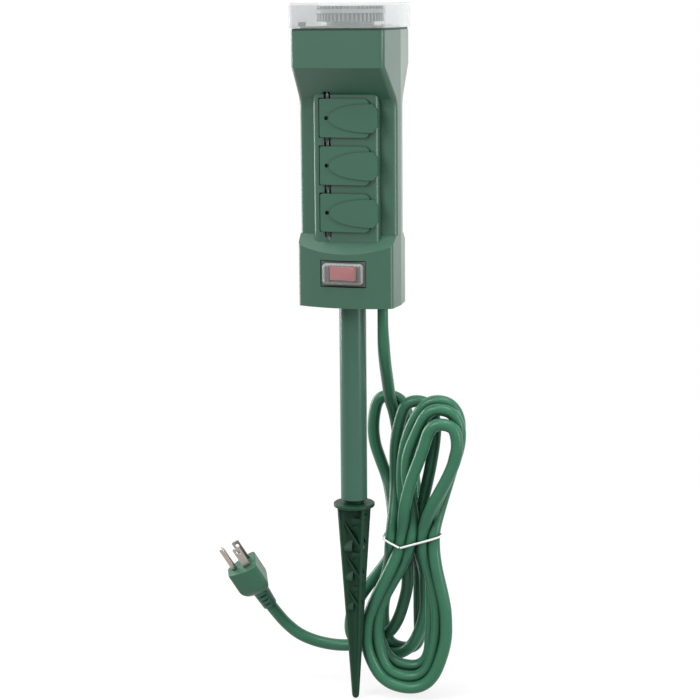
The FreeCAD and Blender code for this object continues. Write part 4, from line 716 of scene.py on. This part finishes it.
# %% [markdown]
# ## The clock under the lid
# A white ring carries 48 push pins round a drum, over a green deck. The train of wheels lies below it. The
# pins could be copies of one, but all these pieces have solids of their own. So they need only soft edges
# and their own plastics. The wheels keep their edges, because a round would eat up the fine teeth.
# %% The clock under the lid
DIAL_WHITE = plastic("dial_plastic", (0.30, 0.33, 0.34), (0.40, 0.43, 0.44), 0.4, 0.1, 80, reach=0.004)
PIN_WHITE = plastic("pin_plastic", (0.20, 0.24, 0.24), (0.30, 0.34, 0.34), 0.38, 0.1, 120, reach=0.004)
GEAR_WHITE = plastic("gear_plastic", (0.58, 0.58, 0.52), (0.68, 0.68, 0.62), 0.42, 0.1, 90)
DARK = plastic("dark_plastic", (0.012, 0.014, 0.014), (0.024, 0.027, 0.026), 0.38, 0.1)
RUBBER = plastic("gasket_rubber", (0.016, 0.046, 0.032), (0.026, 0.066, 0.046), 0.6, 0.1)
dress("timer_deck", "deck_green", HOUSING_GREEN, 0.0003)
dress("cover_gasket", "gasket_rubber", RUBBER, 0.0002)
dress("timer_dial", "dial_white", DIAL_WHITE, 0.00025)
for quarter in ("night", "morning", "afternoon", "evening"):
    dress("trippers_" + quarter, "dial_white", PIN_WHITE, 0.0002)
for node in ("dial_gear", "reduction_gear", "motor_pinion"):
    dress(node, "gear_white", GEAR_WHITE, 0.0)
for node in ("timer_switch", "dial_pointer", "mode_slide"):
    dress(node, "switch_black", DARK, 0.0002)

# %% [markdown]
# ## Hours on the dial
# The dial's plate carries the hours, so that a row of pins can be set to a time. They could be cut into the
# plate, but on the real dial they are printed. So each number is typed flat and made a mesh, and stands a
# hair above the plate.
# %% Hours on the dial
KNOB_ABOVE_PLATE = 0.0018
HOUR_R, HOUR_SIZE, INK_LIFT, INK_HALF = 0.0166, 0.0042, 0.00005, 0.00004
INK = plastic("dial_ink", (0.018, 0.030, 0.024), (0.03, 0.045, 0.038), 0.5, 0.1, 300)
plate_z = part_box("timer_dial")[1].z - KNOB_ABOVE_PLATE
hours = []
for hour in range(2, 26, 2):
    turn = -2 * math.pi * (hour - 0.5) / 24
    spot = (HOUR_R * math.cos(turn), HOUR_R * math.sin(turn), plate_z + INK_LIFT)
    bpy.ops.object.select_all(action="DESELECT")
    bpy.ops.object.text_add(location=spot, rotation=(0, 0, turn - math.pi / 2))
    number = bpy.context.object
    number.name = "hour_%d" % hour
    number.data.body = str(hour)
    number.data.size = HOUR_SIZE
    number.data.align_x, number.data.align_y = "CENTER", "CENTER"
    number.data.extrude = INK_HALF
    bpy.ops.object.convert(target="MESH")
    hours.append(settle(bpy.context.object))
for number in hours:
    number.select_set(True)
bpy.context.view_layer.objects.active = hours[0]
bpy.ops.object.join()
numbers = bpy.context.object
numbers.name = "dial_hours"
seat(numbers, body_of["timer_dial"], "switch_black", INK)
print("the hours have", len(numbers.data.polygons), "faces at", round(1000 * plate_z, 1), "mm")

# %% [markdown]
# ## Clear skins
# The switch's boot and the lid are thin skins of clear plastic. They could be glass, but a thin skin needs
# little bending of light. So they are mostly see-through, with more body at the edges, where the eye looks
# along the skin, and with a faint uneven haze.
# %% Clear skins
HAZE = 0.04


def clear(name, tint, rough, thin, edge, gloss=0.5):
    """A thin clear skin: nearly open face on, milky where it is seen along."""
    finish = Finish(name)
    facing = finish.add("ShaderNodeLayerWeight", None, {"Blend": 0.35}, "Facing")
    haze = finish.noise(160, 3)
    body = facing * edge + (thin - HAZE / 2)
    values = {
        "Base Color": (*tint, 1),
        "Roughness": haze * 0.08 + rough,
        "Alpha": body + haze * HAZE,
        "Normal": finish.bump(finish.noise(260, 2), 0.00003),
        "Specular IOR Level": gloss,
    }
    return finish.show(finish.add("ShaderNodeBsdfPrincipled", None, values))


BOOT_CLEAR = clear("boot_vinyl", (0.60, 0.60, 0.59), 0.14, 0.07, 0.9)
LID_CLEAR = clear("lid_plastic", (0.60, 0.63, 0.63), 0.12, 0.22, 0.4, 0.15)
print("clear finishes:", BOOT_CLEAR.name, "and", LID_CLEAR.name)

# %% [markdown]
# ## The lit switch
# A dark frame holds a red rocker that glows faintly from the lamp behind it, under the clear soft boot. A
# lamp inside would need its light to pass the red plastic. A little emission in the rocker's own colour
# looks the same and is plainer.
# %% The lit switch
def lit(name, dark, light, glow):
    """Tinted plastic that glows a little, as with a light behind it."""
    finish = Finish(name)
    tone = finish.mix(finish.noise(180, 3), (*dark, 1), (*light, 1))
    values = {
        "Base Color": tone,
        "Roughness": finish.noise(90, 2) * 0.1 + 0.25,
        "Emission Color": tone,
        "Emission Strength": glow,
        "Normal": finish.bump(finish.noise(900, 2), 0.00003),
    }
    return finish.show(finish.add("ShaderNodeBsdfPrincipled", None, values))


ROCKER_RED = lit("rocker_plastic", (0.34, 0.06, 0.07), (0.45, 0.10, 0.105), 0.16)
BEZEL = plastic("bezel_plastic", (0.050, 0.062, 0.056), (0.075, 0.088, 0.080), 0.34, 0.1)
LAMP = lit("lamp_glass", (0.85, 0.45, 0.2), (0.95, 0.6, 0.3), 0.8)
dress("switch_bezel", "switch_black", BEZEL, 0.0003)
dress("switch_body", "switch_black", DARK, 0.0003)
dress("switch_rocker", "rocker_red", ROCKER_RED, 0.0003)
dress("switch_lamp", "lamp_glass", LAMP, 0.0)
dress("switch_boot", "clear_boot", BOOT_CLEAR, 0.0)

# %% [markdown]
# ## The clear lid
# The lid is a tray of clear plastic with rounded corners, hinged at the back. It takes a colder and duller
# skin than the boot. Sharp edges would vanish in it, so they get rounds that gather a line of light.
# %% The clear lid
dress("clear_cover", "clear_plastic", LID_CLEAR, 0.0004)

# %% [markdown]
# ## The plug and the grommet
# The plug is moulded on to the cord, in the same vinyl family but firmer. Its sleeve is slotted so that it
# bends with the cord. The real plug is a little wider and longer than the solids. They could be redrawn
# face by face, but a stretch along the plug's own axis, about its front face, keeps every form in place.
# The grommet closes the hole where the cord leaves the box.
# %% The plug and the grommet
PLUG_GREEN = plastic("plug_vinyl", (0.030, 0.106, 0.064), (0.042, 0.138, 0.084), 0.38, 0.1, 60, 900,
                     0.00008, 0.3)
# How much wider, and how much longer
PLUG_STRETCH = {"plug_body": (1.14, 1.26), "plug_blades": (1.0, 1.14), "plug_ground_pin": (1.0, 1.14)}
PLUG_NUDGE = Matrix.Translation((0.0017, 0, -0.003))
dress("plug_body", "plug_green", PLUG_GREEN, 0.0004)
axes = Matrix.Translation(PLUG_FACE) @ PLUG_WAY.to_track_quat("Z", "Y").to_matrix().to_4x4()
for name, (across, longer) in PLUG_STRETCH.items():
    stretch = Matrix.Diagonal((across, across, longer, 1))
    piece = bpy.data.objects[name + "_piece"]
    piece.data.transform(PLUG_NUDGE @ axes @ stretch @ axes.inverted())
    print(piece.name, "is", round(1000 * max(piece.dimensions)), "mm long")
dress("cord_grommet", "plug_green", PLUG_GREEN, 0.0003)

# %% [markdown]
# ## The floor
# The photograph stands on pure white. A brighter lamp would bleach the plastic, so the floor is white only
# where the camera, a mirror or clear plastic looks at it. Near the stake about a fifth of what they see is
# pale paper, which keeps a faint shadow, and further out the floor passes wholly into white light of
# strength 1. Other rays find a grey card, which throws little light back on the object.
# %% The floor
NEAR, FAR, NEAR_LIGHT = 0.25, 0.9, 0.78
CARD_GREY = (0.3, 0.31, 0.305, 1)
FLOOR_GAP = 0.0005


def directly_seen(finish):
    """1 for a look by the camera, by a mirror or through clear plastic, and 0 for the rest."""
    kinds = [finish.add("ShaderNodeLightPath", out="Is %s Ray" % kind)
             for kind in ("Camera", "Glossy", "Transmission")]
    return kinds[0].most(kinds[1]).most(kinds[2])


def paint_floor():
    """Paper that passes into white light further out, and a grey card for rays that nobody sees."""
    finish = Finish("floor_white")
    spread = finish.add("ShaderNodeVectorMath", {"operation": "LENGTH"}, {0: finish.place}, "Value")
    ends = {"Value": spread, "From Min": NEAR, "From Max": FAR, "To Min": NEAR_LIGHT, "To Max": 1.0}
    far = finish.add("ShaderNodeMapRange", {"interpolation_type": "SMOOTHSTEP"}, ends)
    speck = finish.mix(finish.noise(3, 2), (0.87, 0.875, 0.87, 1), (0.9, 0.905, 0.9, 1))
    paper = finish.add("ShaderNodeBsdfPrincipled", None, {"Base Color": speck, "Roughness": 0.9})
    card = finish.add("ShaderNodeBsdfPrincipled", None, {"Base Color": CARD_GREY, "Roughness": 0.9})
    glow = finish.add("ShaderNodeEmission", None, {"Color": (1, 1, 1, 1), "Strength": 1.0})
    white = finish.add("ShaderNodeMixShader", None, {0: far, 1: paper, 2: glow})
    seen = directly_seen(finish)
    return finish.show(finish.add("ShaderNodeMixShader", None, {0: seen, 1: card, 2: white}))


bpy.ops.object.select_all(action="DESELECT")
bpy.ops.mesh.primitive_plane_add(size=60, location=(0, 0, -FLOOR_GAP))
floor = bpy.context.object
floor.name = "floor"
floor.data.materials.append(paint_floor())
print("the floor's finish has", len(floor.data.materials[0].node_tree.nodes), "nodes")

# %% [markdown]
# ## The room
# The world fills the shadows from all sides. A picture of a studio would do that too, but an even grey is
# plainer and shows no pattern in the clear lid. Where the camera looks past the object, the world is white
# at strength 1, as the floor is far out, so that the two meet without a seam.
# %% The room
ROOM_LIGHT = 0.42
world = bpy.data.worlds.new("studio")
bpy.context.scene.world = world
finish = Finish("studio", world)
room = finish.add("ShaderNodeBackground", None, {"Color": (0.98, 1, 1, 1), "Strength": ROOM_LIGHT})
white = finish.add("ShaderNodeBackground", None, {"Color": (1, 1, 1, 1), "Strength": 1.0})
finish.show(finish.add("ShaderNodeMixShader", None, {0: directly_seen(finish), 1: room, 2: white}))
print("the room's light is", ROOM_LIGHT)

# %% [markdown]
# ## The lamps
# Point lamps would leave hard shadows and small glints. Large soft areas give the long highlights on the
# pole and on the cord. The key stands at the front on the left, one lamp hangs above, two narrow cards at
# the sides draw the edges, and a weak one behind keeps the back from going black.
# %% The lamps
def lamp(name, spot, target, size, watts):
    """A soft rectangular lamp that looks at a target."""
    bpy.ops.object.light_add(type="AREA", location=spot)
    light = bpy.context.object
    light.name = name
    light.rotation_euler = (Vector(target) - Vector(spot)).to_track_quat("-Z", "Y").to_euler()
    light.data.shape = "RECTANGLE"
    light.data.size, light.data.size_y = size
    light.data.energy = watts


lamp("key", (-1.1, -1.5, 1.5), (0, 0, 0.35), (0.9, 1.2), 31)
lamp("top", (0.1, -0.4, 2.1), (0, 0, 0.4), (1.2, 1.0), 25)
lamp("right_card", (1.5, -0.4, 0.5), (0, 0, 0.35), (0.35, 1.5), 19)
lamp("left_card", (-1.5, 0.5, 0.5), (0, 0, 0.35), (0.3, 1.5), 22)
lamp("back_card", (0.5, 1.5, 0.45), (0, 0, 0.5), (0.7, 0.7), 2.1)

# %% [markdown] ## The end The view transform is Standard, so that a colour renders as it is written.
bpy.context.scene.view_settings.view_transform = "Standard"
